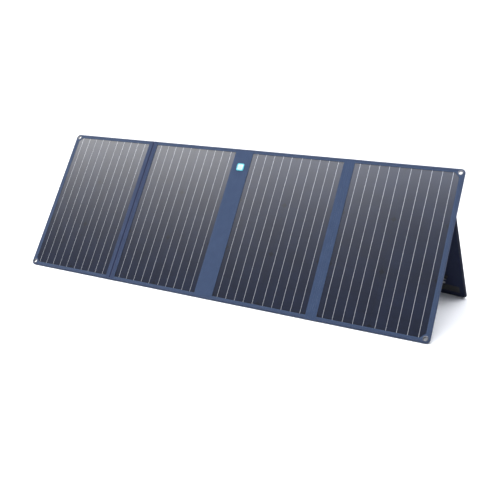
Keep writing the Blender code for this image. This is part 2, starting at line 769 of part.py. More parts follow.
def build():
    parts = sections()
    outer_left, inner_left = parts["outer_left"], parts["inner_left"]
    inner_right, outer_right = parts["inner_right"], parts["outer_right"]

    root = Body("panel_root", None, (0, 0, 0))
    left = Body("inner_left", root, (inner_left.middle, 0, 0))
    left_fold = (outer_left.edge[1] + inner_left.edge[0]) / 2
    far_left = Body("outer_left", left, (left_fold, FOLD_AXIS_DEPTH, 0))
    spine = Body("spine", left, (-SPINE_HINGE, FOLD_AXIS_DEPTH, 0))
    right = Body("inner_right", spine, (SPINE_HINGE, FOLD_AXIS_DEPTH, 0))
    right_fold = (inner_right.edge[1] + outer_right.edge[0]) / 2
    far_right = Body("outer_right", right, (right_fold, FOLD_AXIS_DEPTH, 0))

    build_section(outer_left, far_left)
    build_section(inner_left, left)
    build_section(inner_right, right)
    build_section(outer_right, far_right)
    fold_strip(outer_left.edge[1], inner_left.edge[0], "left_fold", left)
    fold_strip(inner_right.edge[1], outer_right.edge[0], "right_fold", right)
    build_spine(inner_left, inner_right, spine)

    legs = {
        Leg("left_leg", -1, -LEG_HINGE_X): far_left,
        Leg("middle_leg", 0, inner_left.middle + LEG_WIDTH / 2): left,
        Leg("right_leg", 1, LEG_HINGE_X): far_right,
    }
    for leg, parent in legs.items():
        build_leg(leg, Body(leg.name, parent, leg.pivot, leg.turned))

    build_pouch(inner_right, right)
    x, y, z = pouch_place(inner_right)
    zip_line = (x - ZIP_LENGTH / 2, y + POUCH_SIZE[1] / 2, z + POUCH_SIZE[2])
    slider = Body("zip_slider", right, zip_line)
    slider.add("zip_pull", zip_slider(inner_right), "steel")
    stand_on_floor(root.empty)


clear_scene()
FINISH = panel_materials()
build()
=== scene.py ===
import json
import math

import bmesh
import bpy
from mathutils import Matrix, Vector, noise


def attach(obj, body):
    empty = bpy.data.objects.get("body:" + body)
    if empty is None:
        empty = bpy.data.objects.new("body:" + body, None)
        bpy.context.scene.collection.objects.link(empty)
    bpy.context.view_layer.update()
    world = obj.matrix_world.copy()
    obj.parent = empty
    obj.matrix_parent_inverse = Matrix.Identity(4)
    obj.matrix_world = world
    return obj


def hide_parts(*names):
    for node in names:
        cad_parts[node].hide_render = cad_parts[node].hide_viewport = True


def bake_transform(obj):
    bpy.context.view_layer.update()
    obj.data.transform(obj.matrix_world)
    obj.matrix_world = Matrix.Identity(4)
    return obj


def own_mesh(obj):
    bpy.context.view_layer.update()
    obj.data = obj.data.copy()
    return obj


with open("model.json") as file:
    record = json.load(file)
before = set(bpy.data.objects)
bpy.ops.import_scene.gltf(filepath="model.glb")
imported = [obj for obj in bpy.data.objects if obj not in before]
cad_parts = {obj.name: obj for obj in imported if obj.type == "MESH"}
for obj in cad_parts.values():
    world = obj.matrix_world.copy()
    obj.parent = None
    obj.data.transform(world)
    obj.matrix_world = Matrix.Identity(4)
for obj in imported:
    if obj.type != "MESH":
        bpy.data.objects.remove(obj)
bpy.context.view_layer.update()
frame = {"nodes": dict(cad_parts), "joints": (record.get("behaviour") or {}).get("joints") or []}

MM = 0.001
ACROSS = Vector((1, 0, 0))
FRONT = Vector((0, -1, 0))
BACK = Vector((0, 1, 0))

# Fabric. Depths are measured behind the panel's front face, and go negative in front of it.
CLOTH = 0.4 * MM                   # thickness of the canvas
FRAME_CLOTH = 0.6 * MM             # the front frame is canvas on a thin backing
BACK_CLOTH = 0.5 * MM
BINDING_WIDTH = 6.5 * MM           # of the edge binding on each face
BINDING_PROUD = 0.45 * MM
LEG_BINDING_WIDTH = 6 * MM
LEG_BINDING_PROUD = 0.4 * MM
TUCK = 0.8 * MM                    # canvas edges stop this far inside the binding
FOLD_LAP = 4 * MM                  # a fold's back cloth laps this far over each section
FOLD_GRID = 1.3 * MM               # fine enough for cloth that turns
FOLD_CHANNELS = (-0.36, 0.0, 0.36)  # the right fold's sewn lines, as shares of its half width
STITCH_PITCH = 3.6 * MM
STITCH_LENGTH = 2.7 * MM
STITCH_WIDTH = 0.55 * MM
STITCH_RISE = 0.22 * MM

# Front borders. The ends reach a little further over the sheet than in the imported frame.
SIDE_BORDER = 15.4 * MM
END_BORDER = 13 * MM
FRAME_LIP = 4.8 * MM
SPINE_LIP = 14.9 * MM
CORNER_RADIUS = 13 * MM
WINDOW_CORNER_CUT = 14 * MM
LAYER_CORNER_CUT = 33 * MM
EYELET_HOLE = 4.95 * MM
EYELET_BARREL = 5.45 * MM
EYELET_CUT = 5.6 * MM

# Solar cells behind each window.
COLUMN_PITCH = 159.68 * MM
ROW_PITCH = 164.9 * MM
CELL_GAP = 0.8 * MM
CELL_CORNER = 8.3 * MM
RIBBONS_PER_COLUMN = 5
RIBBON_PITCH = 30.97 * MM
RIBBON_WIDTH = 1.0 * MM
HAIRLINE_PITCH = ROW_PITCH / 6
FILM_DEPTH = 0.9 * MM

# Kickstands.
LEG_WIDTH = 240 * MM
LEG_FOOT_RADIUS = 15 * MM
HINGE_TAPE_LAP = 20 * MM
STRAP_WIDTH = 20 * MM
TAB_HALF = (10 * MM, 11 * MM)
TAB_THICKNESS = 1.1 * MM

# Cable pouch.
POUCH_CORNER = 18 * MM
POUCH_WALL = 1.2 * MM
ZIP_PITCH = 1.7 * MM

# Camera, from the fit to the panel's corners. The place is from the panel's lower edge, at its middle.
LENS = 48.95
CAMERA_AT = (1.0544, -1.7156, 0.8263)
CAMERA_FACING = (-0.4339, 0.8442, -0.3145)

# Studio light. The ceiling's strips are (start, end, radiance) along y, brightest over and behind the panel.
CEILING_HEIGHT = 3.0
CEILING = [(-1.55, 1.9, 3.9), (-1.85, -1.55, 2.0), (-2.25, -1.85, 0.9), (-2.7, -2.25, 0.25)]
# Its sides are (start, end, share, how much of that is left at each strip further on, colour) along x.
CEILING_SIDES = {
    "left": (-5.0, -1.6, 1.0, 1.0, (1.0, 1.0, 1.0)),
    "middle": (-1.6, -0.4, 0.75, 0.84, (0.97, 0.99, 1.06)),
    "right": (-0.4, 2.6, 0.57, 0.42, (0.93, 0.98, 1.12)),
}
OVERHEAD = 2.2
OVERHEAD_SPREAD = math.radians(40)
FLOOR_HALF = 3.0
HORIZON = 1.25
SKY = 0.10
SKY_FADE = (0.22, 0.38)            # heights between which the horizon turns to sky


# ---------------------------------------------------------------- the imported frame

def joint(name):
    return next(j for j in frame["joints"] if j["name"] == name)


def node_points(node):
    return [vertex.co for vertex in frame["nodes"][node].data.vertices]


def panel_frame():
    """Matrix of the panel's own frame: x along it, y behind its face, z up its face from the lower edge."""
    up = Vector(joint("left_fold")["axis"])
    depth = Vector((0, up.z, -up.y))
    points = node_points("inner_left_front_frame")
    root = depth * min(p.dot(depth) for p in points) + up * min(p.dot(up) for p in points)
    made = Matrix((ACROSS, depth, up)).transposed().to_4x4()
    made.translation = root
    return made


PANEL = panel_frame()


def extent(node, place=PANEL):
    """Lowest and highest corner of a CAD node in the panel frame, or in another frame."""
    inverse = place.inverted()
    points = [inverse @ p for p in node_points(node)]
    low = Vector([min(p[i] for p in points) for i in range(3)])
    high = Vector([max(p[i] for p in points) for i in range(3)])
    return low, high


HEIGHT = extent("inner_left_front_frame")[1].z
THICKNESS = extent("inner_left_back_cover")[1].y


class Section:
    """One rigid section: its edges and its window. outer is -1 or 1 for the side of its outer end, else 0."""

    def __init__(self, name, outer, left_border, right_border):
        self.name, self.outer = name, outer
        low, high = extent(f"{name}_front_frame")
        self.left, self.right = low.x, high.x
        self.window = (self.left + left_border, self.right - right_border)
        self.middle = sum(self.window) / 2
        names = [f"{name}_{end}_eyelet" for end in ("lower", "upper")] if outer else []
        self.eyelets = {eyelet: sum(extent(eyelet), Vector()) / 2 for eyelet in names}


class Rigid:
    """A length of the panel on one body, which has the same name."""

    def __init__(self, name, left, right):
        self.name, self.left, self.right = name, left, right

    def hold(self, made):
        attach(made, self.name)


class Fold(Rigid):
    """A length of the panel at a fold, between two bodies given in order along x. The bodies are not used,
    and its pieces stay fixed where they are made.
    """

    def __init__(self, name, joint_name, bodies, reach, bend):
        self.x = (PANEL.inverted() @ Vector(joint(joint_name)["pos_m"])).x
        super().__init__(name, self.x - reach, self.x + reach)
        self.bodies, self.bend = bodies, bend

    def hold(self, made):
        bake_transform(made)


SECTIONS = [
    Section("outer_left", -1, SIDE_BORDER, FRAME_LIP),
    Section("inner_left", 0, FRAME_LIP, SPINE_LIP),
    Section("inner_right", 0, SPINE_LIP, FRAME_LIP),
    Section("outer_right", 1, FRAME_LIP, SIDE_BORDER),
]
OUTER_FOLD = (SECTIONS[1].left - SECTIONS[0].right) / 2
OUTER_BEND = OUTER_FOLD - 1.5 * MM
SPINE_BEND = 7 * MM
SPINE_FOLD = SPINE_BEND + 0.1 * MM
LEFT_FOLD = Fold("left_fold", "left_fold", ("outer_left", "inner_left"), OUTER_FOLD, OUTER_BEND)
SPINE_LEFT = Fold("spine_left", "spine_left_fold", ("inner_left", "spine"), SPINE_FOLD, SPINE_BEND)
SPINE_RIGHT = Fold("spine_right", "spine_right_fold", ("spine", "inner_right"), SPINE_FOLD, SPINE_BEND)
RIGHT_FOLD = Fold("right_fold", "right_fold", ("inner_right", "outer_right"), OUTER_FOLD, OUTER_BEND)
SPINE = Rigid("spine", SPINE_LEFT.right, SPINE_RIGHT.left)
# The whole length, from left to right. The outer sections' own ends are left to their outlines.
SPANS = [
    LEFT_FOLD,
    Rigid("inner_left", LEFT_FOLD.right, SPINE_LEFT.left),
    SPINE_LEFT,
    SPINE,
    SPINE_RIGHT,
    Rigid("inner_right", SPINE_RIGHT.right, RIGHT_FOLD.left),
    RIGHT_FOLD,
]


# ---------------------------------------------------------------- materials

class Finish:
    """A procedural material. Cloth is drawn in its own flat measure, the UV map "Cloth", in metres."""

    def __init__(self, name, roughness, **sockets):
        self.made = bpy.data.materials.new(name)
        self.made.use_nodes = True
        self.tree = self.made.node_tree
        self.shader = self.tree.nodes["Principled BSDF"]
        for socket, value in {"Roughness": roughness, **sockets}.items():
            self.set(socket.replace("_", " "), value)

    def set(self, socket, value):
        self.feed(self.shader.inputs[socket], value)

    def feed(self, socket, value):
        if hasattr(value, "is_output"):
            self.tree.links.new(value, socket)
        elif socket.type == "RGBA":
            socket.default_value = (*value, 1.0)
        else:
            socket.default_value = value

    def node(self, kind, inputs=(), **settings):
        made = self.tree.nodes.new("ShaderNode" + kind)
        for key, value in settings.items():
            setattr(made, key, value)
        for key, value in dict(inputs).items():
            self.feed(made.inputs[key], value)
        return made

    def math(self, operation, *values):
        return self.node("Math", enumerate(values), operation=operation).outputs[0]

    def ridges(self, value):
        """Round ridges side by side, each one pi of value wide."""
        return self.math("ABSOLUTE", self.math("SINE", value))

    def cloth(self):
        return self.node("UVMap", uv_map="Cloth").outputs[0]

    def body(self):
        return self.node("TexCoord").outputs["Object"]

    def split(self, vector):
        return self.node("SeparateXYZ", {"Vector": vector}).outputs

    def stretched(self, vector, scale):
        return self.node("Mapping", {"Vector": vector, "Scale": scale}).outputs[0]

    def noise(self, vector, size, detail=2.0):
        return self.node("TexNoise", {"Vector": vector, "Scale": 1 / size, "Detail": detail}).outputs[0]

    def checks(self, vector):
        return self.node("TexChecker", {"Vector": vector, "Scale": 1.0}).outputs["Fac"]

    def ramp(self, value, low, high, start=0.0, end=1.0):
        settings = {"Value": value, "From Min": low, "From Max": high, "To Min": start, "To Max": end}
        return self.node("MapRange", settings).outputs[0]

    def mixed(self, factor, first, second):
        """Between two colours. The mix node's sockets share their names, so they go by number."""
        return self.node("Mix", {0: factor, 6: first, 7: second}, data_type="RGBA").outputs[2]

    def colour(self, value):
        self.set("Base Color", value)

    def bump(self, height, distance, strength=1.0):
        self.set("Normal", self.node("Bump", {
            "Height": height, "Distance": distance, "Strength": strength,
        }).outputs[0])

    def bands(self, value, pitch, width):
        """1 within width of every multiple of pitch, else 0."""
        return self.math("LESS_THAN", self.math("PINGPONG", value, pitch / 2), width / 2)


def shaded(colour, share):
    return tuple(share * c for c in colour)


def weave(finish, vector, pitch):
    """Height of a plain weave with this thread pitch: warp and weft pass over each other in turn."""
    scaled = finish.stretched(vector, (1 / pitch, 1 / pitch, 1.0))
    along, across, _ = finish.split(scaled)
    warp, weft = [finish.ridges(finish.math("MULTIPLY", value, math.pi)) for value in (along, across)]
    over = finish.checks(scaled)
    under = finish.math("MULTIPLY", weft, finish.math("SUBTRACT", 1.0, over))
    return finish.math("ADD", finish.math("MULTIPLY", warp, over), under)


def canvas(name, dark, light, pitch=0.62 * MM, sheen=0.18, crease=None):
    """Woven polyester: fine plain weave, slight streaks along the threads, and mottling a few centimetres
    across. A crease is a line up the cloth at this x, with a band of painted shade along it."""
    made = Finish(name, 0.82, Sheen_Weight=sheen, Sheen_Roughness=0.45, Specular_IOR_Level=0.25)
    vector = made.cloth()
    mottle = made.noise(vector, 26 * MM, 3.0)
    streak = made.noise(made.stretched(vector, (1.0, 0.06, 1.0)), 1.6 * MM)
    threads = weave(made, vector, pitch)
    tone = made.math("MULTIPLY_ADD", streak, 0.45, made.math("MULTIPLY", mottle, 0.55))
    base = made.mixed(made.ramp(tone, 0.35, 0.65), dark, light)
    cloth = made.mixed(made.ramp(threads, 0.1, 0.9), shaded(dark, 0.72), base)
    if crease is not None:
        # Painted shade: the colour is fully dark within 1.7 mm of the crease and fades back to the cloth by
        # 3.1 mm.
        away = made.math("ABSOLUTE", made.math("SUBTRACT", made.split(vector)[0], crease))
        wear_and_painted_shade = tuple(share * c for share, c in zip((0.05, 0.15, 0.4), dark))
        cloth = made.mixed(made.ramp(away, 1.7 * MM, 3.1 * MM), wear_and_painted_shade, cloth)
    made.colour(cloth)
    made.bump(threads, 0.12 * MM, 0.8)
    return made.made


def ribbed_tape(name, dark, light, rib=1.1 * MM):
    """Grosgrain or webbing: ribs straight across the tape, with the threads' slight differences in colour."""
    made = Finish(name, 0.7, Sheen_Weight=0.22, Sheen_Roughness=0.4, Specular_IOR_Level=0.3)
    vector = made.cloth()
    ribs = made.ridges(made.math("MULTIPLY", made.split(vector)[0], math.pi / rib))
    tone = made.noise(made.stretched(vector, (0.1, 1.0, 1.0)), 1.5 * MM)
    base = made.mixed(made.ramp(tone, 0.3, 0.7), dark, light)
    made.colour(made.mixed(made.ramp(ribs, 0.0, 0.6), shaded(dark, 0.6), base))
    made.bump(made.math("MULTIPLY_ADD", weave(made, vector, 0.5 * MM), 0.25, ribs), 0.18 * MM, 0.8)
    return made.made


def thread(name, dark, light):
    """Sewing thread: two plies twisted together."""
    made = Finish(name, 0.55, Sheen_Weight=0.25)
    along, across, _ = made.split(made.cloth())
    turned = made.math("MULTIPLY_ADD", across, 1.2, along)
    plies = made.ridges(made.math("MULTIPLY", turned, math.pi / (0.5 * MM)))
    made.colour(made.mixed(plies, dark, light))
    made.bump(plies, 0.1 * MM, 0.6)
    return made.made


def hook_tape(name):
    """Hook-and-loop tape: a mat of short stiff hooks."""
    made = Finish(name, 0.9, Sheen_Weight=0.1)
    vector = made.cloth()
    hooks = made.node("TexVoronoi", {"Vector": vector, "Scale": 1 / (1.1 * MM), "Randomness": 0.5})
    tufts = made.ramp(hooks.outputs["Distance"], 0.0, 0.7, 1.0, 0.0)
    # The hook tape's own worn tone, wandering at random over about 18 mm; no shade is painted here.
    wear_and_painted_shade = made.mixed(made.noise(vector, 18 * MM, 3.0), (0.012, 0.012, 0.014), (0.022, 0.022, 0.024))
    made.colour(made.mixed(tufts, (0.004, 0.004, 0.005), wear_and_painted_shade))
    made.bump(tufts, 0.5 * MM, 0.9)
    return made.made


def film_over(name, **sockets):
    """A surface laminated under the clear film, which is the shader's coat, and its cloth measure."""
    film = {"Coat_Weight": 1.0, "Coat_Roughness": 0.20, "Coat_IOR": 1.7, "Specular_IOR_Level": 0.25}
    made = Finish(name, **{"roughness": 0.30, **film, **sockets})
    return made, made.cloth()


def emboss(made, vector):
    """The film's embossing: a close field of shallow dimples, and a slow waviness of what is under it."""
    cells = made.node("TexVoronoi", {"Vector": vector, "Scale": 1 / (0.9 * MM)}, feature="SMOOTH_F1")
    height = made.math("MULTIPLY_ADD", made.noise(vector, 35 * MM, 1.0), 3.0, cells.outputs["Distance"])
    made.bump(height, 0.05 * MM, 0.35)


def silicon(name):
    """Monocrystalline cells: blue-black, with fine printed fingers and faint hairlines across the ribbons."""
    made, vector = film_over(name)
    up = made.split(vector)[1]
    fingers = made.bands(up, 1.72 * MM, 0.16 * MM)
    hairlines = made.bands(up, HAIRLINE_PITCH, 0.5 * MM)
    cloud = made.ramp(made.noise(vector, 70 * MM), 0.35, 0.65)
    grain = made.ramp(made.noise(vector, 0.35 * MM, 1.0), 0.3, 0.7, 0.0, 0.12)
    deep = made.mixed(cloud, (0.0044, 0.0072, 0.0195), (0.0056, 0.0096, 0.0262))
    printed = made.mixed(made.math("MULTIPLY", fingers, 0.35), deep, (0.020, 0.024, 0.038))
    lined = made.mixed(made.math("MULTIPLY", hairlines, 0.8), printed, (0.0015, 0.002, 0.004))
    made.colour(made.mixed(grain, lined, (0.020, 0.025, 0.045)))
    emboss(made, vector)
    return made.made


def backsheet(name):
    made, vector = film_over(name)
    made.colour(made.mixed(made.noise(vector, 3 * MM), (0.0028, 0.0040, 0.0090), (0.0044, 0.0060, 0.0126)))
    emboss(made, vector)
    return made.made


def tinned(name):
    """Solder-tinned copper ribbon: bright, with the slight unevenness of dipped solder."""
    made, vector = film_over(name, roughness=0.42, Metallic=0.35)
    solder = made.noise(made.stretched(vector, (1.0, 0.35, 1.0)), 4 * MM, 3.0)
    made.colour(made.mixed(made.ramp(solder, 0.3, 0.7), (0.34, 0.35, 0.38), (0.60, 0.61, 0.65)))
    made.bump(solder, 0.12 * MM, 0.5)
    return made.made


def metal(name, dark, light, roughness):
    """Plated metal: faint scratches and a soft difference in polish."""
    made = Finish(name, roughness, Metallic=1.0)
    vector = made.body()
    scratches = made.noise(made.stretched(vector, (1.0, 14.0, 1.0)), 2 * MM)
    made.colour(made.mixed(made.noise(vector, 5 * MM, 3.0), dark, light))
    made.set("Roughness", made.ramp(scratches, 0.3, 0.75, roughness * 0.7, roughness * 1.5))
    made.bump(scratches, 0.02 * MM, 0.3)
    return made.made


def plastic(name, dark, light, roughness, **sockets):
    """Moulded plastic with a spark-eroded grain."""
    made = Finish(name, roughness, **sockets)
    vector = made.body()
    fine = made.noise(vector, 0.8 * MM, 3.0)
    made.colour(made.mixed(made.noise(vector, 12 * MM), dark, light))
    made.set("Roughness", made.ramp(fine, 0.3, 0.7, roughness * 0.85, roughness * 1.2))
    made.bump(fine, 0.05 * MM, 0.4)
    return made.made


def glass_fibre(name):
    """Laminated glass-fibre board: a coarse weave under resin."""
    made = Finish(name, 0.5)
    tilt = math.atan2(PANEL[1][2], PANEL[2][2])
    turned = made.node("Mapping", {"Vector": made.body(), "Rotation": (tilt, 0, 0)}).outputs[0]
    checks = made.checks(made.stretched(turned, (1 / (3 * MM), 1.0, 1 / (3 * MM))))
    made.colour(made.mixed(made.ramp(checks, 0, 1, 0.35, 0.65), (0.030, 0.034, 0.026), (0.060, 0.066, 0.052)))
    made.bump(checks, 0.03 * MM, 0.3)
    return made.made


def pale_floor():
    made = Finish("floor", 0.9)
    vector = made.body()
    made.colour(made.mixed(made.noise(vector, 0.6, 3.0), (0.86, 0.86, 0.865), (0.90, 0.90, 0.90)))
    made.bump(made.noise(vector, 3 * MM, 3.0), 0.2 * MM, 0.2)
    return made.made


CANVAS = canvas("canvas", (0.029, 0.049, 0.101), (0.039, 0.064, 0.124))
FOLD_CANVAS = canvas("fold_canvas", (0.025, 0.046, 0.100), (0.035, 0.060, 0.124))
LINING = canvas("lining", (0.0040, 0.0080, 0.0300), (0.0072, 0.0120, 0.0400), pitch=0.5 * MM, sheen=0.03)
# The left fold's front cloth: the fold canvas made darker as painted shade, with a band of painted shade up
# its crease.
SHADED_CREASE_CANVAS = canvas("shaded_crease_canvas", (0.019, 0.033, 0.078), (0.027, 0.045, 0.102), crease=LEFT_FOLD.x)
BINDING = ribbed_tape("binding", (0.022, 0.037, 0.082), (0.031, 0.051, 0.102))
WEBBING = ribbed_tape("webbing", (0.006, 0.006, 0.007), (0.014, 0.014, 0.016), rib=1.6 * MM)
LEG_TAPE = ribbed_tape("leg_tape", (0.0075, 0.0100, 0.0260), (0.0140, 0.0180, 0.0420))
THREAD = thread("thread", (0.046, 0.068, 0.115), (0.080, 0.108, 0.165))
DARK_THREAD = thread("dark_thread", (0.010, 0.012, 0.024), (0.026, 0.030, 0.050))
HOOKS = hook_tape("hook_tape")
SILICON = silicon("silicon")
BACKSHEET = backsheet("backsheet")
TIN = tinned("tinned_ribbon")
NICKEL = metal("nickel", (0.36, 0.36, 0.37), (0.50, 0.50, 0.51), 0.3)
BLACK_NICKEL = metal("black_nickel", (0.14, 0.14, 0.15), (0.21, 0.21, 0.22), 0.32)
BLACK_PLASTIC = plastic("black_plastic", (0.014, 0.014, 0.015), (0.024, 0.024, 0.026), 0.45)
CYAN_PLASTIC = plastic("cyan_plastic", (0.05, 0.42, 0.48), (0.08, 0.50, 0.56), 0.3, Coat_Weight=0.4)
WHITE_PLASTIC = plastic("white_plastic", (0.50, 0.60, 0.66), (0.58, 0.68, 0.74), 0.35)
BOARD = glass_fibre("glass_fibre")
FLOOR = pale_floor()


# ---------------------------------------------------------------- shapes

def distances(points):
    """How far along a line of points each of them lies."""
    found = [0.0]
    for a, b in zip(points, points[1:]):
        found.append(found[-1] + math.dist(a, b))
    return found


def even(low, high, step):
    """Values at most step apart from low to high."""
    count = max(1, math.ceil((high - low) / step))
    return [low + (high - low) * i / count for i in range(count + 1)]


def ahead(line, k):
    """The way a line of points runs at its point k."""
    return line[min(k + 1, len(line) - 1)] - line[max(k - 1, 0)]


def on_face(row):
    """A row's places on flat cloth that lies along the panel."""
    return [(p.x, p.z) for p in row]


class Shape:
    """Closed forms being gathered into one piece: points, and faces with their places on the flat cloth."""

    def __init__(self):
        self.points = []
        self.faces = []

    def rows(self, rows, places, wrap=False, ring=False):
        """Quads between rows of points. wrap closes each row, and ring joins the last row to the first."""
        start, count = len(self.points), len(rows[0])
        for row in rows:
            self.points.extend(row)
        for i in range(len(rows) if ring else len(rows) - 1):
            for j in range(count if wrap else count - 1):
                corners = [(i, j), (i + 1, j), (i + 1, j + 1), (i, j + 1)]
                face = [start + (a % len(rows)) * count + b % count for a, b in corners]
                self.faces.append((face, [places[a % len(places)][b % len(places[0])] for a, b in corners]))
        return start

    def caps(self, start, rows, places, ends=(0, -1)):
        """Flat faces over the first and last of these rows, which were added from start on."""
        count = len(rows[0])
        for end in ends:
            first = start + (end % len(rows)) * count
            self.faces.append((list(range(first, first + count)), list(places(rows[end]))))

    def shell(self, front_rows, back_rows, places):
        """A closed sheet between two grids of points, with a rim round it."""
        bases = [self.rows(rows, places) for rows in (front_rows, back_rows)]
        height, width = len(front_rows), len(front_rows[0])
        edge = [(0, j) for j in range(width)] + [(i, width - 1) for i in range(1, height)]
        edge += [(height - 1, j) for j in range(width - 2, -1, -1)]
        edge += [(i, 0) for i in range(height - 2, 0, -1)]
        for here, following in zip(edge, edge[1:] + edge[:1]):
            ring = [(0, here), (0, following), (1, following), (1, here)]
            face = [bases[side] + i * width + j for side, (i, j) in ring]
            self.faces.append((face, [places[i][j] for _, (i, j) in ring]))

    def slab(self, rows, through, places=None):
        """A closed sheet: these rows of points, and the same ones moved by through."""
        places = places or [on_face(row) for row in rows]
        self.shell(rows, [[p + through for p in row] for row in rows], places)

    def loft(self, loops):
        """A closed form through loops of points, flat at both ends."""
        start = self.rows(loops, [on_face(loop + loop[:1]) for loop in loops], wrap=True)
        self.caps(start, loops, on_face)

    def sweep(self, stations, profile, ring=False):
        """A closed profile of (p, q) carried along stations of (centre, p axis, q axis, distance)."""
        round_it = distances(profile + profile[:1])
        rows = [[centre + p * a + q * b for a, b in profile] for centre, p, q, _ in stations]
        places = [[(station[3], length) for length in round_it] for station in stations]
        start = self.rows(rows, places, wrap=True, ring=ring)
        if not ring:
            self.caps(start, rows, lambda row: profile)

    def turn(self, profile, place, segments=48):
        """A ring turned about the y axis of place, from a closed profile of (radius, y)."""
        angles = [2 * math.pi * i / segments for i in range(segments + 1)]
        rows = []
        for angle in angles[:-1]:
            out = Vector((math.cos(angle), 0, math.sin(angle)))
            rows.append([place @ (out * radius + BACK * y) for radius, y in profile])
        places = [[(a * 8 * MM, j * MM) for j in range(len(profile) + 1)] for a in angles]
        self.rows(rows, places, wrap=True, ring=True)

    def round_plate(self, x, z, half, radius, levels):
        """A rounded rectangle built from levels of (inset, depth), closed at both ends."""
        loops = []
        for inset, depth in levels:
            ring = rounded_ring(half[0] - inset, half[1] - inset, max(radius - inset, 0.2 * MM), 8, 1)
            loops.append([Vector((x + a, depth, z + b)) for a, b in ring])
        self.loft(loops)

    def stitch(self, start, end, up):
        """One stitch, a short raised thread that dips into the cloth at both ends."""
        along = end - start
        side = along.cross(up).normalized() * (STITCH_WIDTH / 2)
        middle = (start + end) / 2
        base, sunk = len(self.points), up * (0.3 * STITCH_RISE)
        self.points += [start - sunk, middle + side - sunk, middle + up * STITCH_RISE]
        self.points += [middle - side - sunk, end - sunk]
        length, half = along.length, STITCH_WIDTH / 2
        spots = [(0, 0), (length / 2, half), (length / 2, 0), (length / 2, -half), (length, 0)]
        for face in ((0, 1, 2), (0, 2, 3), (4, 2, 1), (4, 3, 2), (0, 3, 4, 1)):
            self.faces.append(([base + i for i in face], [spots[i] for i in face]))

    def stitches(self, points, up):
        """A row of stitches along a line of points."""
        lengths = distances(points)
        count = max(1, int(lengths[-1] / STITCH_PITCH))
        spare = (lengths[-1] - count * STITCH_PITCH) / 2

        def at(far):
            k = 0
            while k < len(points) - 2 and lengths[k + 1] < far:
                k += 1
            share = (far - lengths[k]) / max(lengths[k + 1] - lengths[k], 1e-9)
            return points[k].lerp(points[k + 1], min(max(share, 0.0), 1.0))

        for i in range(count):
            far = spare + i * STITCH_PITCH + (STITCH_PITCH - STITCH_LENGTH) / 2
            self.stitch(at(far), at(far + STITCH_LENGTH), up)

    def box_stitches(self, corners, up):
        """A sewn box with a cross in it, through four corners."""
        for line in (corners + corners[:1], corners[::2], corners[1::2]):
            self.stitches(line, up)


def rounded_ring(half_x, half_z, radius, segments=6, between=12):
    """Points (x, z) round a rectangle with round corners, starting at its lower left corner."""
    points = []
    for quarter, (way_x, way_z) in enumerate(((-1, -1), (1, -1), (1, 1), (-1, 1))):
        centre = Vector((way_x * (half_x - radius), way_z * (half_z - radius)))
        angles = [math.radians(180 + 90 * (quarter + k / segments)) for k in range(segments + 1)]
        corner = [centre + Vector((math.cos(a), math.sin(a))) * radius for a in angles]
        if points:
            points += [points[-1].lerp(corner[0], k / between) for k in range(1, between)]
        points += corner
    return points + [points[-1].lerp(points[0], k / between) for k in range(1, between)]


def trail(corners, step, arc_steps=8):
    """Points at most step apart along an open line through corners of (x, y, radius), each with its direction
    and the distance travelled."""
    turns = []
    for i, (x, y, radius) in enumerate(corners):
        here = Vector((x, y))
        if not radius:
            turns.append((here, here, None))
            continue
        before, after = ((Vector(corners[i + way][:2]) - here).normalized() for way in (-1, 1))
        half = before.angle(after) / 2
        reach = radius / math.tan(half)
        centre = here + (before + after).normalized() * (radius / math.sin(half))
        turns.append((here + before * reach, here + after * reach, centre))
    found = []
    travelled = 0.0
    for i, (arrive, leave, centre) in enumerate(turns):
        if centre is not None:
            start = arrive - centre
            sweep = start.angle_signed(leave - centre)
            for k in range(arc_steps + 1):
                spoke = Matrix.Rotation(-sweep * k / arc_steps, 2) @ start
                heading = Vector((-spoke.y, spoke.x)) * (-1 if sweep > 0 else 1)
                far = travelled + abs(sweep) * start.length * k / arc_steps
                found.append((centre + spoke, heading.normalized(), far))
            travelled += abs(sweep) * start.length
        if i == len(turns) - 1:
            break
        run = turns[i + 1][0] - leave
        count = max(1, math.ceil(run.length / step))
        first = 1 if centre is not None else 0
        last = count if turns[i + 1][2] is not None else count + 1
        for k in range(first, last):
            found.append((leave + run * (k / count), run.normalized(), travelled + run.length * k / count))
        travelled += run.length
    return found


def bound_edge(corners, step, inside):
    """Stations round an outline for a binding. Their first axis points in, as inside(point, axis) says."""
    found = []
    for point, heading, far in trail(corners, step):
        inward = Vector((-heading.y, heading.x))
        if not inside(point, inward):
            inward = -inward
        found.append((Vector((point.x, 0, point.y)), Vector((inward.x, 0, inward.y)), BACK, far))
    return found


def ripple(x, z, size, amount, seed):
    """A slow unevenness of cloth over a board."""
    return amount * noise.noise(Vector((x / size, z / size, seed)))


def corner_loss(rise, radius):
    """How much a round corner takes off a line this far above the corner's lower edge."""
    if rise >= radius:
        return 0.0
    return radius - math.sqrt(max(radius ** 2 - (radius - rise) ** 2, 0.0))


def corner_lines(low, radius):
    """Grid lines across a round corner that starts at low, closest where it turns fastest."""
    return [low + radius * (1 - math.cos(math.radians(a))) for a in range(0, 90, 11)]


def turn_out(mesh):
    shape = bmesh.new()
    shape.from_mesh(mesh)
    bmesh.ops.remove_doubles(shape, verts=shape.verts, dist=0.0005 * MM)
    bmesh.ops.recalc_face_normals(shape, faces=shape.faces)
    shape.to_mesh(mesh)
    shape.free()


def cut(target, tools):
    """Cuts closed shapes out of a piece."""
    for tool in tools:
        step = target.modifiers.new("cut", "BOOLEAN")
        step.operation = "DIFFERENCE"
        step.solver = "EXACT"
        step.object = tool
    bpy.context.view_layer.update()
    graph = bpy.context.evaluated_depsgraph_get()
    mesh = bpy.data.meshes.new_from_object(target.evaluated_get(graph))
    target.modifiers.clear()
    target.data = mesh
    for tool in tools:
        bpy.data.objects.remove(tool)


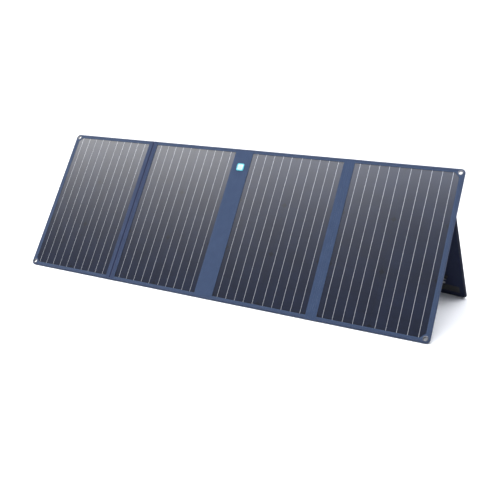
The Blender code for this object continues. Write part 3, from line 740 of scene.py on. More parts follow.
def piece(name, shape, finish, body, node=None, place=PANEL, sharp=40, holes=()):
    """An object from a Shape in the given frame, with its faces turned out, less its holes. It rides a body
    or is held by a length of the panel, and it may stand for a CAD node."""
    mesh = bpy.data.meshes.new(name)
    mesh.from_pydata([place @ p for p in shape.points], [], [face for face, _ in shape.faces])
    layer = mesh.uv_layers.new(name="Cloth")
    layer.data.foreach_set("uv", [value for _, places in shape.faces for uv in places for value in uv])
    made = bpy.data.objects.new(name, mesh)
    bpy.context.scene.collection.objects.link(made)
    turn_out(mesh)
    mesh.materials.append(finish)
    mesh.shade_smooth()
    mesh.set_sharp_from_angle(angle=math.radians(sharp))
    if holes:
        cut(made, holes)
    if isinstance(body, Rigid):
        body.hold(made)
    elif body:
        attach(made, body)
    if node:
        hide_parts(node)
    return made


# ---------------------------------------------------------------- canvas

def frame_pairs(section):
    """Points round a section's outer edge, each with its partner on the window's edge. The ring runs from the
    lower corner on the fold side."""
    side = section.outer or 1
    out, fold = (section.right, section.left)[::side]
    window_out, window_fold = section.window[::-side]
    radius, chamfer = (CORNER_RADIUS, WINDOW_CORNER_CUT) if section.outer else (0, 0)
    turned, cut_off = out - side * radius, window_out - side * chamfer
    low, high = END_BORDER, HEIGHT - END_BORDER
    ring = [
        ((fold, 0), (window_fold, low)),
        ((turned, 0), (cut_off, low)),
        ((out, radius), (window_out, low + chamfer)),
        ((out, HEIGHT - radius), (window_out, high - chamfer)),
        ((turned, HEIGHT), (cut_off, high)),
        ((fold, HEIGHT), (window_fold, high)),
    ]
    arcs = {1: (radius, -90), 3: (HEIGHT - radius, 0)}
    pairs = []
    for k, pair in enumerate(ring):
        (a, c), (b, d) = ([Vector(p) for p in ends] for ends in (pair, ring[(k + 1) % len(ring)]))
        if k not in arcs:
            count = max(1, math.ceil((b - a).length / (9 * MM)))
            pairs += [(a.lerp(b, i / count), c.lerp(d, i / count)) for i in range(count)]
        elif section.outer:
            height, first = arcs[k]
            for i in range(8):
                angle = math.radians(first + 90 * i / 8)
                spoke = Vector((side * math.cos(angle), math.sin(angle))) * radius
                pairs.append((Vector((turned, height)) + spoke, c.lerp(d, i / 8)))
    return pairs


def eyelet_cutters(section):
    """Cylinders through the cloth where the eyelets' barrels go."""
    made = []
    for at in section.eyelets.values():
        bpy.ops.mesh.primitive_cylinder_add(radius=EYELET_CUT, depth=20 * MM, vertices=32)
        tool = bpy.context.object
        turn = Matrix.Rotation(math.pi / 2, 4, "X")
        tool.matrix_world = PANEL @ Matrix.Translation((at.x, THICKNESS / 2, at.z)) @ turn
        made.append(tool)
    return made


def section_canvas(section, way, shape, node):
    name = f"{section.name}_{way}_canvas"
    holes = eyelet_cutters(section)
    made = piece(name, shape, CANVAS, section.name, f"{section.name}_{node}", holes=holes)


def front_canvas(section):
    """The face cloth round one window, its window edge turned in."""
    rows, places = [], []
    for outer, inner in frame_pairs(section):
        width = (inner - outer).length
        inward = (inner - outer) / width
        start = outer + inward * min(TUCK, width / 3)
        row = []
        for share in (0.0, 0.25, 0.5, 0.75, 0.92):
            at = start.lerp(inner, share)
            lift = math.sin(math.pi * share) * (0.12 * MM + ripple(at.x, at.y, 14 * MM, 0.22 * MM, 0.0))
            row.append(Vector((at.x, -lift, at.y)))
        for back, depth in ((0.25, 0.04), (0.0, 0.3), (0.25, 0.56)):
            at = inner - inward * (back * MM)
            row.append(Vector((at.x, depth * MM, at.y)))
        row.append(Vector((start.x, FRAME_CLOTH, start.y)))
        rows.append(row)
        places.append(on_face(row + row[:1]))
    shape = Shape()
    shape.rows(rows, places, wrap=True, ring=True)
    width = section.right - section.left
    section_canvas(section, "front", shape, "front_frame")


def back_canvas(section):
    """The back cloth, stretched over the board with a slight sag."""
    radius = CORNER_RADIUS - TUCK
    arc = corner_lines(TUCK, radius)
    middle = even(TUCK + radius, HEIGHT - TUCK - radius, 14 * MM)
    rows = []
    for z in arc + middle + [HEIGHT - z for z in reversed(arc)]:
        loss = corner_loss(min(z - TUCK, HEIGHT - TUCK - z), radius)
        left = section.left + TUCK + (loss if section.outer == -1 else 0.0)
        right = section.right - TUCK - (loss if section.outer == 1 else 0.0)
        row = []
        for x in (left + (right - left) * share for share in even(0, 1, 1 / 24)):
            from_edge = min(x - left, right - x, z - TUCK, HEIGHT - TUCK - z)
            sag = ripple(x, z, 60 * MM, 0.35 * MM, 3.0) + ripple(x, z, 22 * MM, 0.12 * MM, 5.0)
            row.append(Vector((x, THICKNESS + min(sag, 0.2 * MM) * min(1.0, from_edge / (20 * MM)), z)))
        rows.append(row)
    shape = Shape()
    shape.slab(rows, FRONT * BACK_CLOTH)
    section_canvas(section, "back", shape, "back_cover")


def fold_lift(kind, share):
    """How far a fold's cloth stands out of its own plane, at share -1 to 1 across it."""
    swell = math.cos(share * math.pi / 2)
    if kind == "crease":
        groove = math.exp(-((share / 0.11) ** 2))
        lips = math.exp(-(((abs(share) - 0.27) / 0.13) ** 2))
        return 0.25 * MM * swell + 0.45 * MM * lips - 0.75 * MM * groove
    groove = sum(math.exp(-(((share - line) / 0.07) ** 2)) for line in FOLD_CHANNELS)
    return 0.32 * MM * swell - 0.34 * MM * groove


def strip_shape(left, right, depth, kind, facing):
    """A strip of cloth up the whole face, from left to right, its outer surface at this depth."""
    middle, half = (left + right) / 2, (right - left) / 2
    rows = []
    for z in even(TUCK, HEIGHT - TUCK, 7 * MM):
        row = []
        for x in even(left, right, FOLD_GRID if kind else 4 * MM):
            lift = 0.0
            if kind:
                share = (x - middle) / half
                swell = math.cos(share * math.pi / 2)
                lift = fold_lift(kind, share) + swell * ripple(x, z, 16 * MM, 0.22 * MM, 7.0)
            row.append(Vector((x, depth + facing.y * lift, z)))
        rows.append(row)
    shape = Shape()
    shape.slab(rows, facing * -CLOTH)
    return shape


def fold_cloth():
    """The canvas over the folds and the spine. Each row says the span, its front cloth's ends, its back
    cloth's laps to the left and right, how its front is folded, and the front's finish."""
    front, back = -CLOTH - 0.02 * MM, THICKNESS + CLOTH + 0.02 * MM
    left_ends = (LEFT_FOLD.left - FRAME_LIP, LEFT_FOLD.right + FRAME_LIP)
    right_ends = (RIGHT_FOLD.left - FRAME_LIP, RIGHT_FOLD.right + FRAME_LIP)
    for span, ends_in_front, laps, kind, finish in (
        (LEFT_FOLD, left_ends, (1, 1), "crease", SHADED_CREASE_CANVAS),
        (SPINE_LEFT, (SECTIONS[1].window[1], SPINE_LEFT.right), (1, 0), "", FOLD_CANVAS),
        (SPINE, (SPINE.left, SPINE.right), (0, 0), "", FOLD_CANVAS),
        (SPINE_RIGHT, (SPINE_RIGHT.left, SECTIONS[2].window[0]), (0, 1), "", FOLD_CANVAS),
        (RIGHT_FOLD, right_ends, (1, 1), "channels", FOLD_CANVAS),
    ):
        behind = (span.left - laps[0] * FOLD_LAP, span.right + laps[1] * FOLD_LAP)
        for way, ends, depth, folded, facing, cloth in (
            ("front", ends_in_front, front, kind, FRONT, finish),
            ("back", behind, back, kind and "crease", BACK, CANVAS),
        ):
            node = f"{span.name}_{way}" if kind or span is SPINE else None
            shape = strip_shape(*ends, depth, folded, facing)
            made = piece(f"{span.name}_{way}_cloth", shape, cloth, span, node)


def leads():
    """The flat power leads that cross the outer folds between the cloths."""
    for fold in (LEFT_FOLD, RIGHT_FOLD):
        low, high = extent(f"{fold.name}_lead")
        xs, heights = even(fold.left, fold.right, FOLD_GRID), even(low.z, high.z, 3 * MM)
        shape = Shape()
        shape.slab([[Vector((x, low.y, z)) for x in xs] for z in heights], BACK * (high.y - low.y))
        piece(f"{fold.name}_flat_lead", shape, BLACK_PLASTIC, fold, f"{fold.name}_lead")


# ---------------------------------------------------------------- binding

def binding_profile(thickness, width, proud):
    """Tape folded round the edge, as (distance in from the edge, depth)."""
    front, back = -proud, thickness + proud
    middle, half = thickness / 2, (back - front) / 2
    round_in, skin, rolled, bowed = 2.2 * MM, 0.4 * MM, 0.12 * MM, 0.06 * MM
    flat_end, flat_middle = width - 0.35 * MM, (width + round_in) / 2
    outside = [(width, front + rolled), (flat_end, front), (flat_middle, front - bowed)]
    for angle in (math.radians(a) for a in range(-75, 76, 25)):
        outside.append((round_in * (1 - math.cos(angle)), middle + half * math.sin(angle)))
    outside += [(flat_middle, back + bowed), (flat_end, back), (width, back - rolled)]
    inside = [(width, back - skin), (round_in, back - skin), (skin, middle), (round_in, front + skin)]
    return outside + inside + [(width, front + skin)]


def straight_stations(left, right, z, inward):
    axis = Vector((0, 0, inward))
    return [(Vector((x, 0, z)), axis, BACK, x) for x in even(left, right, 4 * MM)]


def outline_stations(section):
    """Round an outer section: along its lower edge from the fold, up its side and back along the top."""
    fold, end = (section.left, section.right)[::section.outer]
    corners = [(fold, 0, 0), (end, 0, CORNER_RADIUS), (end, HEIGHT, CORNER_RADIUS), (fold, HEIGHT, 0)]
    middle = Vector((section.middle, HEIGHT / 2))
    return bound_edge(corners, 8 * MM, lambda point, inward: inward.dot(middle - point) > 0)


def binding_stitches(shape, stations, thickness, far_in, proud):
    """Rows in front and behind, just inside the binding's edge."""
    for depth, up in ((-proud, FRONT), (thickness + proud, BACK)):
        shape.stitches([c + p * far_in + BACK * depth for c, p, _, _ in stations], up)


def edge_binding():
    """The tape round the whole edge and all seams on the face, section by section and fold by fold."""
    profile = binding_profile(THICKNESS, BINDING_WIDTH, BINDING_PROUD)
    held = [(section, section.name, [outline_stations(section)]) for section in (SECTIONS[0], SECTIONS[3])]
    for span in SPANS:
        edges = [straight_stations(span.left, span.right, z, way) for z, way in ((0, 1), (HEIGHT, -1))]
        held.append((span, span, edges))
    for part, body, runs in held:
        tape, sewing = Shape(), Shape()
        for stations in runs:
            tape.sweep(stations, profile)
            binding_stitches(sewing, stations, THICKNESS, BINDING_WIDTH - 1.4 * MM, BINDING_PROUD)
        for section in SECTIONS:
            if section.name == part.name:
                window_stitches(sewing, section)
        if isinstance(part, Fold):
            fold_stitches(sewing, part)
        piece(f"{part.name}_binding", tape, BINDING, body, sharp=50)
        piece(f"{part.name}_stitching", sewing, THREAD, body)


def window_stitches(shape, section):
    """The seam round a window, between its edge and the binding, left out where a fold's cloth covers it."""
    inset, bevel, side = 2.2 * MM, WINDOW_CORNER_CUT, section.outer
    low, high = END_BORDER - inset, HEIGHT - END_BORDER + inset
    lines = [[(x, z) for x in section.window] for z in (low, high)]
    if side:
        fold, end = section.window[::side]
        end += side * inset
        near = end - side * bevel
        line = [(fold, low), (near, low), (end, low + bevel), (end, high - bevel), (near, high), (fold, high)]
        lines = [line]
    for line in lines:
        shape.stitches([Vector((x, -0.05 * MM, z)) for x, z in line], FRONT)


def fold_stitches(shape, fold):
    """Rows that hold the fold's cloth to the sections, and its channels."""
    depth, back = -CLOTH - 0.05 * MM, THICKNESS + CLOTH + 0.05 * MM
    from_window, beside = 1.8 * MM, 2 * MM
    lines = []
    if fold is SPINE_LEFT:
        lines.append((SECTIONS[1].window[1] + from_window, depth, FRONT))
    elif fold is SPINE_RIGHT:
        lines.append((SECTIONS[2].window[0] - from_window, depth, FRONT))
    else:
        seam = FRAME_LIP - from_window
        lines += [(x, depth, FRONT) for x in (fold.left - seam, fold.right + seam)]
    if fold is RIGHT_FOLD:
        middle, half = (fold.left + fold.right) / 2, (fold.right - fold.left) / 2 + FRAME_LIP
        lines += [(middle + share * half, depth - 0.05 * MM, FRONT) for share in FOLD_CHANNELS]
    if fold in (LEFT_FOLD, RIGHT_FOLD):
        lines += [(x, back, BACK) for x in (fold.left - beside, fold.right + beside)]
    for x, y, up in lines:
        shape.stitches([Vector((x, y, z)) for z in even(BINDING_WIDTH, HEIGHT - BINDING_WIDTH, 40 * MM)], up)


# ---------------------------------------------------------------- solar cells

def cut_rectangle(x0, x1, z0, z1, left, right):
    """Corners of a rectangle with its left and right corners cut off by these amounts."""
    corners = [(x0 + left, z0), (x1 - right, z0), (x1, z0 + right), (x1, z1 - right)]
    corners += [(x1 - right, z1), (x0 + left, z1), (x0, z1 - left), (x0, z0 + left)]
    return [c for i, c in enumerate(corners) if c != corners[i - 1]]


def plate(shape, corners, front, back, bevel):
    """A flat plate with a small bevel round its front."""
    corners = [Vector(c) for c in corners]
    middle = sum(corners, Vector((0, 0))) / len(corners)
    loops = []
    for depth, inset in ((back, 0.0), (front + bevel, 0.0), (front, bevel)):
        places = [c + (middle - c).normalized() * inset for c in corners]
        loops.append([Vector((p.x, depth, p.y)) for p in places])
    shape.loft(loops)


def cell_plates(section):
    shape = Shape()
    half_width, half_height = (COLUMN_PITCH - CELL_GAP) / 2, (ROW_PITCH - CELL_GAP) / 2
    for column in (-0.5, 0.5):
        for row in (-1, 0, 1):
            x, z = section.middle + column * COLUMN_PITCH, HEIGHT / 2 + row * ROW_PITCH
            sides = (x - half_width, x + half_width, z - half_height, z + half_height)
            outline = cut_rectangle(*sides, CELL_CORNER, CELL_CORNER)
            plate(shape, outline, FILM_DEPTH + 0.04 * MM, FILM_DEPTH + 0.5 * MM, 0.05 * MM)
    node = f"{section.name}_cell_string"
    piece(f"{section.name}_cells", shape, SILICON, section.name, node, sharp=20)


def laminate(section):
    """The backing that shows between the cells."""
    inset = 0.9 * MM
    chops = [LAYER_CORNER_CUT if section.outer == way else 0 for way in (-1, 1)]
    sides = (section.left + inset, section.right - inset, inset, HEIGHT - inset)
    shape = Shape()
    plate(shape, cut_rectangle(*sides, *chops), FILM_DEPTH + 0.12 * MM, FILM_DEPTH + 1.2 * MM, 0.05 * MM)
    node = f"{section.name}_front_sheet"
    piece(f"{section.name}_laminate", shape, BACKSHEET, section.name, node, sharp=20)


def ribbons(section):
    """Tinned ribbons soldered down the cells: flat wire that wanders a little."""
    shape = Shape()
    half, middle = RIBBON_WIDTH / 2, (RIBBONS_PER_COLUMN - 1) / 2
    high, low = FILM_DEPTH - 0.06 * MM, FILM_DEPTH + 0.06 * MM
    profile = [(-half, low), (-half, high + 0.04 * MM), (-0.7 * half, high), (0.7 * half, high)]
    profile += [(half, high + 0.04 * MM), (half, low)]
    for number in range(2 * RIBBONS_PER_COLUMN):
        column, place = divmod(number, RIBBONS_PER_COLUMN)
        x = section.middle + (column - 0.5) * COLUMN_PITCH + (place - middle) * RIBBON_PITCH
        stations = []
        for z in even(7 * MM, HEIGHT - 7 * MM, 12 * MM):
            sway = 0.16 * MM * noise.noise(Vector((x * 900, z * 14, number)))
            stations.append((Vector((x + sway, 0, z)), ACROSS, BACK, z))
        shape.sweep(stations, profile)
    piece(f"{section.name}_ribbons", shape, TIN, section.name)


# ---------------------------------------------------------------- eyelets and sun dial

def eyelets(section):
    for name, at in section.eyelets.items():
        low, high = extent(name)
        flange = (high.x - low.x) / 2
        front, back, lip = low.y, high.y, 0.55 * MM
        # (radius from the flange's rim or from the hole's edge, depth from the front or the back), in mm
        rim = [(0, 0.55), (-0.25, 0.22), (-0.9, 0.03), (-1.6, 0)]
        profile = [(flange + r * MM, front + y * MM) for r, y in rim]
        profile += [(EYELET_HOLE + r * MM, front + y * MM) for r, y in ((0.35, 0.12), (0, 0.6))]
        profile += [(EYELET_HOLE + r * MM, back + y * MM) for r, y in ((0, -0.6), (0.35, -0.12))]
        profile += [(flange + r * MM, back + y * MM) for r, y in ((-1.2, 0), (-0.2, -0.2), (0, -0.45))]
        profile += [(EYELET_BARREL, back - lip + 0.1 * MM), (EYELET_BARREL, front + lip)]
        shape = Shape()
        shape.turn(profile, Matrix.Translation((at.x, 0, at.z)))
        piece(f"{name}_ring", shape, BLACK_NICKEL, section.name, name, sharp=60)


def sun_dial():
    """A rounded plate with a raised rim, its white face, and the post whose shadow shows the sun's height."""
    low, high = extent("sun_dial_base")
    z, half = (low.z + high.z) / 2, (high.x - low.x) / 2
    front, back = low.y, high.y - 0.1 * MM
    rim, floor_depth = 3.4 * MM, front + 1.0 * MM
    levels = [(0, back), (0, front + 0.7 * MM), (0.2 * MM, front + 0.2 * MM), (0.7 * MM, front)]
    levels += [(rim - 0.8 * MM, front), (rim - 0.2 * MM, front + 0.25 * MM), (rim, floor_depth)]
    shape = Shape()
    shape.round_plate(0.0, z, (half, half), 5.5 * MM, levels)
    piece("sun_dial_rim", shape, CYAN_PLASTIC, "spine", "sun_dial_base", sharp=50)
    face = half - rim - 0.2 * MM
    levels = [(inset * MM, floor_depth - rise * MM) for inset, rise in ((0, 0.02), (0, 0.35), (0.3, 0.5))]
    shape = Shape()
    shape.round_plate(0.0, z, (face, face), 3.2 * MM, levels)
    piece("sun_dial_plate", shape, WHITE_PLASTIC, "spine", "sun_dial_face", sharp=50)
    axis, radius, round_by = 0.01 * MM, 1.5 * MM, 0.6 * MM
    top, foot = front + 0.1 * MM, floor_depth - 0.3 * MM
    post = [(axis, top)]
    for angle in (math.radians(a) for a in range(0, 91, 15)):
        post.append((radius - round_by * (1 - math.sin(angle)), top + round_by * (1 - math.cos(angle))))
    mark = ((5.2, 0.45), (5.2, 0.62), (5.8, 0.62), (5.8, 0.45))
    ring = [(r * MM, floor_depth - rise * MM) for r, rise in mark]
    shape = Shape()
    shape.turn(post + [(radius, foot), (axis, foot)], Matrix.Translation((0.0, 0, z)), 24)
    shape.turn(ring, Matrix.Translation((0.0, 0, z)), 32)
    piece("sun_dial_post", shape, CYAN_PLASTIC, "spine", sharp=50)


# ---------------------------------------------------------------- kickstands

class Leg:
    """A kickstand's frames. hinge has x along the hinge, y away from the panel's back and z up its face. leg
    is that one swung open, with -z from the hinge to the foot."""

    def __init__(self, name, body, side):
        made = joint(f"{name}_fold")
        self.name, self.body, self.side = name, body, side
        self.open = math.radians(made["range_deg"][1])
        inverse = PANEL.inverted()
        self.pivot = inverse @ Vector(made["pos_m"])
        line = inverse.to_3x3() @ -Vector(made["axis"])
        self.slant = math.atan2(-line.z, line.x)
        self.hinge = PANEL @ Matrix.Translation(self.pivot) @ Matrix.Rotation(self.slant, 4, "Y")
        self.leg = self.hinge @ Matrix.Rotation(self.open, 4, "X")
        low, high = extent(f"{name}_sleeve", self.leg)
        self.thickness = high.y - low.y

    def across(self, inward):
        """How far along the hinge's line a point this far in from the outer side lies."""
        return -self.side * inward / math.cos(self.slant)

    def top(self, inward, down=0.0):
        """The point this far in from the outer side, this far below the hinge line along the leg."""
        along = Vector((math.sin(self.slant), 0, -math.cos(self.slant)))
        return Vector((self.across(inward), 0, 0)) + along * down

    def reach(self, inward):
        """Length from the hinge to the ground along the leg."""
        start = self.leg @ self.top(inward)
        return start.z / (start.z - (self.leg @ self.top(inward, 1.0)).z)

    def foot(self, inward, inset=0.0):
        """Length from the hinge to the foot's edge, with its round corners."""
        from_side = min(inward, LEG_WIDTH - inward) - inset
        return self.reach(inward) - inset - corner_loss(from_side, LEG_FOOT_RADIUS - inset)

    def piece(self, name, shape, finish, slot, node=None, sharp=40):
        node = node and f"{self.name}_{node}"
        return piece(f"{self.name}_{name}", shape, finish, self.name, node, self.leg, sharp)


LEGS = [
    Leg("left_leg", "outer_left", -1),
    Leg("middle_leg", "inner_left", 1),
    Leg("right_leg", "outer_right", 1),
]


def leg_sleeve(leg):
    """Lining cloth sewn round the leg's board, a little plump between its edges."""
    start, edge_rise = 2.4 * MM, 0.35 * MM
    arc = corner_lines(TUCK, LEG_FOOT_RADIUS - TUCK)
    middle = even(LEG_FOOT_RADIUS, LEG_WIDTH - LEG_FOOT_RADIUS, 11 * MM)
    front_rows, back_rows = [], []
    for inward in arc + middle + [LEG_WIDTH - a for a in reversed(arc)]:
        front, back = [], []
        length = leg.foot(inward, TUCK) - start
        for share in even(0, 1, 11 * MM / leg.reach(0)):
            down = start + length * share
            at = leg.top(inward, down)
            edge = max(min(inward, LEG_WIDTH - inward, down + 8 * MM, leg.foot(inward) - down) - TUCK, 0)
            plump = 0.55 * MM * (1 - math.exp(-edge / (7 * MM)))
            wave = ripple(at.x, at.z, 40 * MM, 0.5 * MM, 11.0) * min(1.0, edge / (12 * MM))
            front.append(at + BACK * (edge_rise - plump + wave * 0.6))
            back.append(at + BACK * (leg.thickness - edge_rise + plump + wave))
        front_rows.append(front)
        back_rows.append(back)
    shape = Shape()
    shape.shell(front_rows, back_rows, [on_face(row) for row in front_rows])
    made = leg.piece("cover", shape, LINING, "lining", "sleeve")
    leg.reach(LEG_WIDTH / 2)


def leg_binding(leg):
    """Tape down one side of the leg, round its foot and up the other side, and its seams."""
    start = 4 * MM
    corners = [(0, start, 0), (0, leg.reach(0), LEG_FOOT_RADIUS)]
    corners += [(LEG_WIDTH, leg.reach(LEG_WIDTH), LEG_FOOT_RADIUS), (LEG_WIDTH, start, 0)]
    flat = [(*leg.top(inward, down).xz, radius) for inward, down, radius in corners]
    middle = leg.top(LEG_WIDTH / 2, leg.reach(0) / 2).xz
    stations = bound_edge(flat, 9 * MM, lambda point, inward: inward.dot(middle - point) >= 0)
    tape, sewing = Shape(), Shape()
    tape.sweep(stations, binding_profile(leg.thickness, LEG_BINDING_WIDTH, LEG_BINDING_PROUD))
    leg.piece("binding", tape, LEG_TAPE, "lining", sharp=50)
    binding_stitches(sewing, stations, leg.thickness, LEG_BINDING_WIDTH - 1.2 * MM, LEG_BINDING_PROUD)
    leg.piece("stitching", sewing, DARK_THREAD, "lining")


def grip_patch(leg):
    """Hook-and-loop tape near the foot, lower at its edges than in its middle."""
    front = extent(f"{leg.name}_grip_patch", leg.leg)[0].y
    margin, from_foot, width = 21 * MM, 33 * MM, 25 * MM
    rows = []
    for inward in even(margin, LEG_WIDTH - margin, 5 * MM):
        row = []
        for share in even(0, 1, 0.125):
            at = leg.top(inward, leg.reach(inward) - from_foot + (share - 0.5) * width)
            edge = min(share, 1 - share) * width
            lift = 0.35 * MM * min(1.0, edge / (2 * MM)) + ripple(at.x, at.z, 9 * MM, 0.15 * MM, 2.0)
            row.append(at + BACK * (front + 0.5 * MM - lift))
        rows.append(row)
    shape = Shape()
    shape.slab(rows, BACK * (0.6 * MM))
    leg.piece("hook_patch", shape, HOOKS, "webbing", "grip_patch")


def leg_snap(leg):
    """A press stud: a cap with a rolled edge and a dimple."""
    low, high = extent(f"{leg.name}_snap", leg.leg)
    centre = (low + high) / 2
    radius, front, back = (high.x - low.x) / 2, low.y, high.y
    profile = [(r * MM, front + y * MM) for r, y in ((0.01, 0.55), (1.8, 0.5), (2.4, 0.08), (3.2, 0))]
    profile += [(radius - 0.5 * MM, front + 0.15 * MM), (radius, front + 0.6 * MM), (radius, back - 0.1 * MM)]
    shape = Shape()
    shape.turn(profile + [(0.01 * MM, back)], Matrix.Translation((centre.x, 0, centre.z)), 32)
    leg.piece("press_stud", shape, NICKEL, "steel", "snap", sharp=60)


def hinge_tape(leg):
    """Tape sewn to the panel's back above the hinge and to the leg's outer face below it."""
    swing = Matrix.Rotation(leg.open, 3, "X")
    back = THICKNESS - leg.pivot.y + 0.15 * MM
    outer = leg.thickness + 0.25 * MM
    bulge = Vector((0, back + 0.9 * MM, 1.0 * MM))
    lands = (5 * MM, 9 * MM, 14 * MM, HINGE_TAPE_LAP)
    landing = [swing @ Vector((0, outer, -z)) for z in lands]
    line = [Vector((0, back, z)) for z in (HINGE_TAPE_LAP, 14 * MM, 9 * MM, 6 * MM, 4 * MM)]
    leaves = len(line) - 1
    bridge = line[leaves]
    line += [bridge.lerp(bulge, k / 6).lerp(bulge.lerp(landing[0], k / 6), k / 6) for k in range(1, 6)]
    first_landed = len(line)
    line += landing
    lengths = distances(line)
    rows, places = [], []
    for inward in even(1 * MM, LEG_WIDTH - 1 * MM, 8 * MM):
        x = leg.across(inward)
        row = []
        for k, p in enumerate(line):
            along = ahead(line, k)
            out = Vector((0, -along.z, along.y)).normalized()
            down = max(lengths[k] - lengths[leaves], 0.0)
            lift = ripple(x, lengths[k], 18 * MM, 0.2 * MM, 4.0) * (0.25 if k >= first_landed else 1.0)
            row.append(Vector((x + math.tan(leg.slant) * down, p.y, p.z)) + out * lift)
        rows.append(row)
        places.append([(inward, length) for length in lengths])
    shape = Shape()
    shape.slab(rows, Vector((0, 0.24 * MM, 0.16 * MM)), places)
    made = piece(f"{leg.name}_hinge_tape", shape, LEG_TAPE, None, place=leg.hinge)
    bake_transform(made)


def strap_ends(leg):
    """The middles of a limiting strap's two ends, in the panel frame: the panel's end and the leg's."""
    points = [PANEL.inverted() @ p for p in node_points(f"{leg.name}_strap")]
    middle = sum(points, Vector()) / len(points)
    ends = [p for p in points if p.y < middle.y], [p for p in points if p.y >= middle.y]
    return [sum(end, Vector()) / len(end) for end in ends]


def strap_profile(width, thickness):
    half, thick = width / 2, thickness / 2
    over = [(half - thick, thick), (0, thick * 1.1), (-half + thick, thick)]
    return [(-half, 0)] + [(-p, -q) for p, q in over] + [(half, 0)] + over


def leg_strap(leg):
    """The webbing that stops the leg at its open angle."""
    upper, lower = strap_ends(leg)
    length = (lower - upper).length
    run = (lower - upper).normalized()
    across = (ACROSS - run * ACROSS.dot(run)).normalized()
    stations = []
    for share in even(0, 1, 0.04):
        sag = Vector((0, 0, -1.2 * MM)) * math.sin(math.pi * share)
        stations.append((upper + run * (length * share) + sag, across, run.cross(across), length * share))
    shape = Shape()
    shape.sweep(stations, strap_profile(STRAP_WIDTH, 1.2 * MM))
    made = piece(f"{leg.name}_stop_strap", shape, WEBBING, leg.body, f"{leg.name}_strap")
    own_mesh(made)
    in_leg = leg.leg.inverted() @ PANEL @ lower
    strap_tab(f"{leg.name}_upper_tab", PANEL, leg.body, upper, THICKNESS, BACK, -1, 0)
    strap_tab(f"{leg.name}_lower_tab", leg.leg, leg.name, in_leg, 0.0, FRONT, 1, leg.slant)


def strap_tab(name, place, body, end, depth, up, way, slant):
    """A sewn end of a strap, flat on the panel's back or on the leg's inner face."""
    turn = Matrix.Rotation(slant, 3, "Y")
    half_width, half_height = TAB_HALF
    base = Vector((end.x, depth + up.y * 0.35 * MM, end.z + way * half_height))
    rows = []
    for z in even(-half_height, half_height, 3.6 * MM):
        row = []
        for x in even(-half_width, half_width, 2.5 * MM):
            edge = min(half_width - abs(x), half_height - abs(z))
            lift = 0.5 * MM * (1 + min(1.0, edge / (1.5 * MM)))
            row.append(base + turn @ Vector((x, 0, z)) + up * lift)
        rows.append(row)
    tab, sewing = Shape(), Shape()
    tab.slab(rows, up * -TAB_THICKNESS, [[(p.z, p.x) for p in row] for row in rows])
    piece(name, tab, WEBBING, body, place=place)
    reach_x, reach_z = half_width - 2 * MM, half_height - 2 * MM
    corners = [(-reach_x, -reach_z), (reach_x, -reach_z), (reach_x, reach_z), (-reach_x, reach_z)]
    sewing.box_stitches([base + turn @ Vector((x, 0, z)) + up * (1.05 * MM) for x, z in corners], up)
    piece(f"{name}_stitching", sewing, DARK_THREAD, body, place=place)


# ---------------------------------------------------------------- handle and pouch

def smooth_line(points, count):
    """A Catmull-Rom curve through points, with count steps between each two."""
    found = []
    padded = [2 * points[0] - points[1], *points, 2 * points[-1] - points[-2]]
    for a, b, c, d in zip(padded, padded[1:], padded[2:], padded[3:]):
        slope, bend, twist = c - a, 2 * a - 5 * b + 4 * c - d, 3 * b - a - 3 * c + d
        for t in (k / count for k in range(count)):
            found.append(0.5 * (2 * b + slope * t + bend * t * t + twist * t ** 3))
    return found + [points[-1]]


def carry_handle():
    """Folded webbing bowed out from the spine, its feet sewn down with a crossed box."""
    low, high = extent("carry_handle")
    foot, rise = THICKNESS + CLOTH + 0.9 * MM, high.y - 1.6 * MM
    middle, half = (low.z + high.z) / 2, (high.z - low.z) / 2
    climb = [(foot, 1), (foot, 12), (foot + 0.6 * MM, 21)]
    climb += [(foot + 8 * MM, 29), (rise - 2 * MM, 44), (rise, 60)]
    places = [(y, z * MM - half) for y, z in climb]
    places += [(rise, 0)] + [(y, -z) for y, z in reversed(places)]
    line = smooth_line([Vector((0, y, middle + z)) for y, z in places], 5)
    stations = []
    for k, (at, far) in enumerate(zip(line, distances(line))):
        stations.append((at, ACROSS, ahead(line, k).normalized().cross(ACROSS), far))
    tape, sewing = Shape(), Shape()
    tape.sweep(stations, strap_profile(high.x - low.x, 1.7 * MM))
    piece("handle_webbing", tape, WEBBING, "spine", "carry_handle")
    top, reach = foot + 0.9 * MM, (high.x - low.x) / 2 - 2.5 * MM
    for way in (-1, 1):
        near, far = middle + way * (half - 18 * MM), middle + way * (half - 3 * MM)
        corners = [(-reach, near), (reach, near), (reach, far), (-reach, far)]
        sewing.box_stitches([Vector((x, top, z)) for x, z in corners], BACK)
    piece("handle_stitching", sewing, DARK_THREAD, "spine")


def pouch_rows(low, high):
    """The pouch's outside, slumped a little: rows up its walls from the sewn edge, then in over its front."""
    x, z = (low.x + high.x) / 2, (low.z + high.z) / 2
    half_x, half_z = (high.x - low.x) / 2, (high.z - low.z) / 2
    base, top = THICKNESS + 0.1 * MM, (high.y - low.y) / MM
    # (inset, rise) of each row, in mm
    walls = [(0.6, 0.4), (-0.6, 3.0), (-0.4, 0.35 * top), (-0.2, 0.7 * top), (0.6, top - 4), (2.2, top - 1.2)]
    front = [(5, top - 0.2), (14, top + 0.1), (26, top + 0.2), (40, top + 0.2), (56, top), (72, top)]
    rows = []
    for number, (inset, rise) in enumerate(walls + front):
        reach = inset * MM
        row = []
        for a, b in rounded_ring(half_x - reach, half_z - reach, max(POUCH_CORNER - reach, 2 * MM)):
            at = Vector((x + a, base + rise * MM, z + b))
            sag = ripple(at.x, at.z, 48 * MM, 1.6 * MM, 21.0) + ripple(at.x, at.z, 19 * MM, 0.5 * MM, 23.0)
            if number >= len(walls) - 1:
                at.y += sag * min(1.0, inset / 9) - 0.6 * MM
            elif number > 0:
                at.x += sag * 0.2
            row.append(at)
        rows.append(row)
    return rows[:len(walls)], rows[len(walls):]


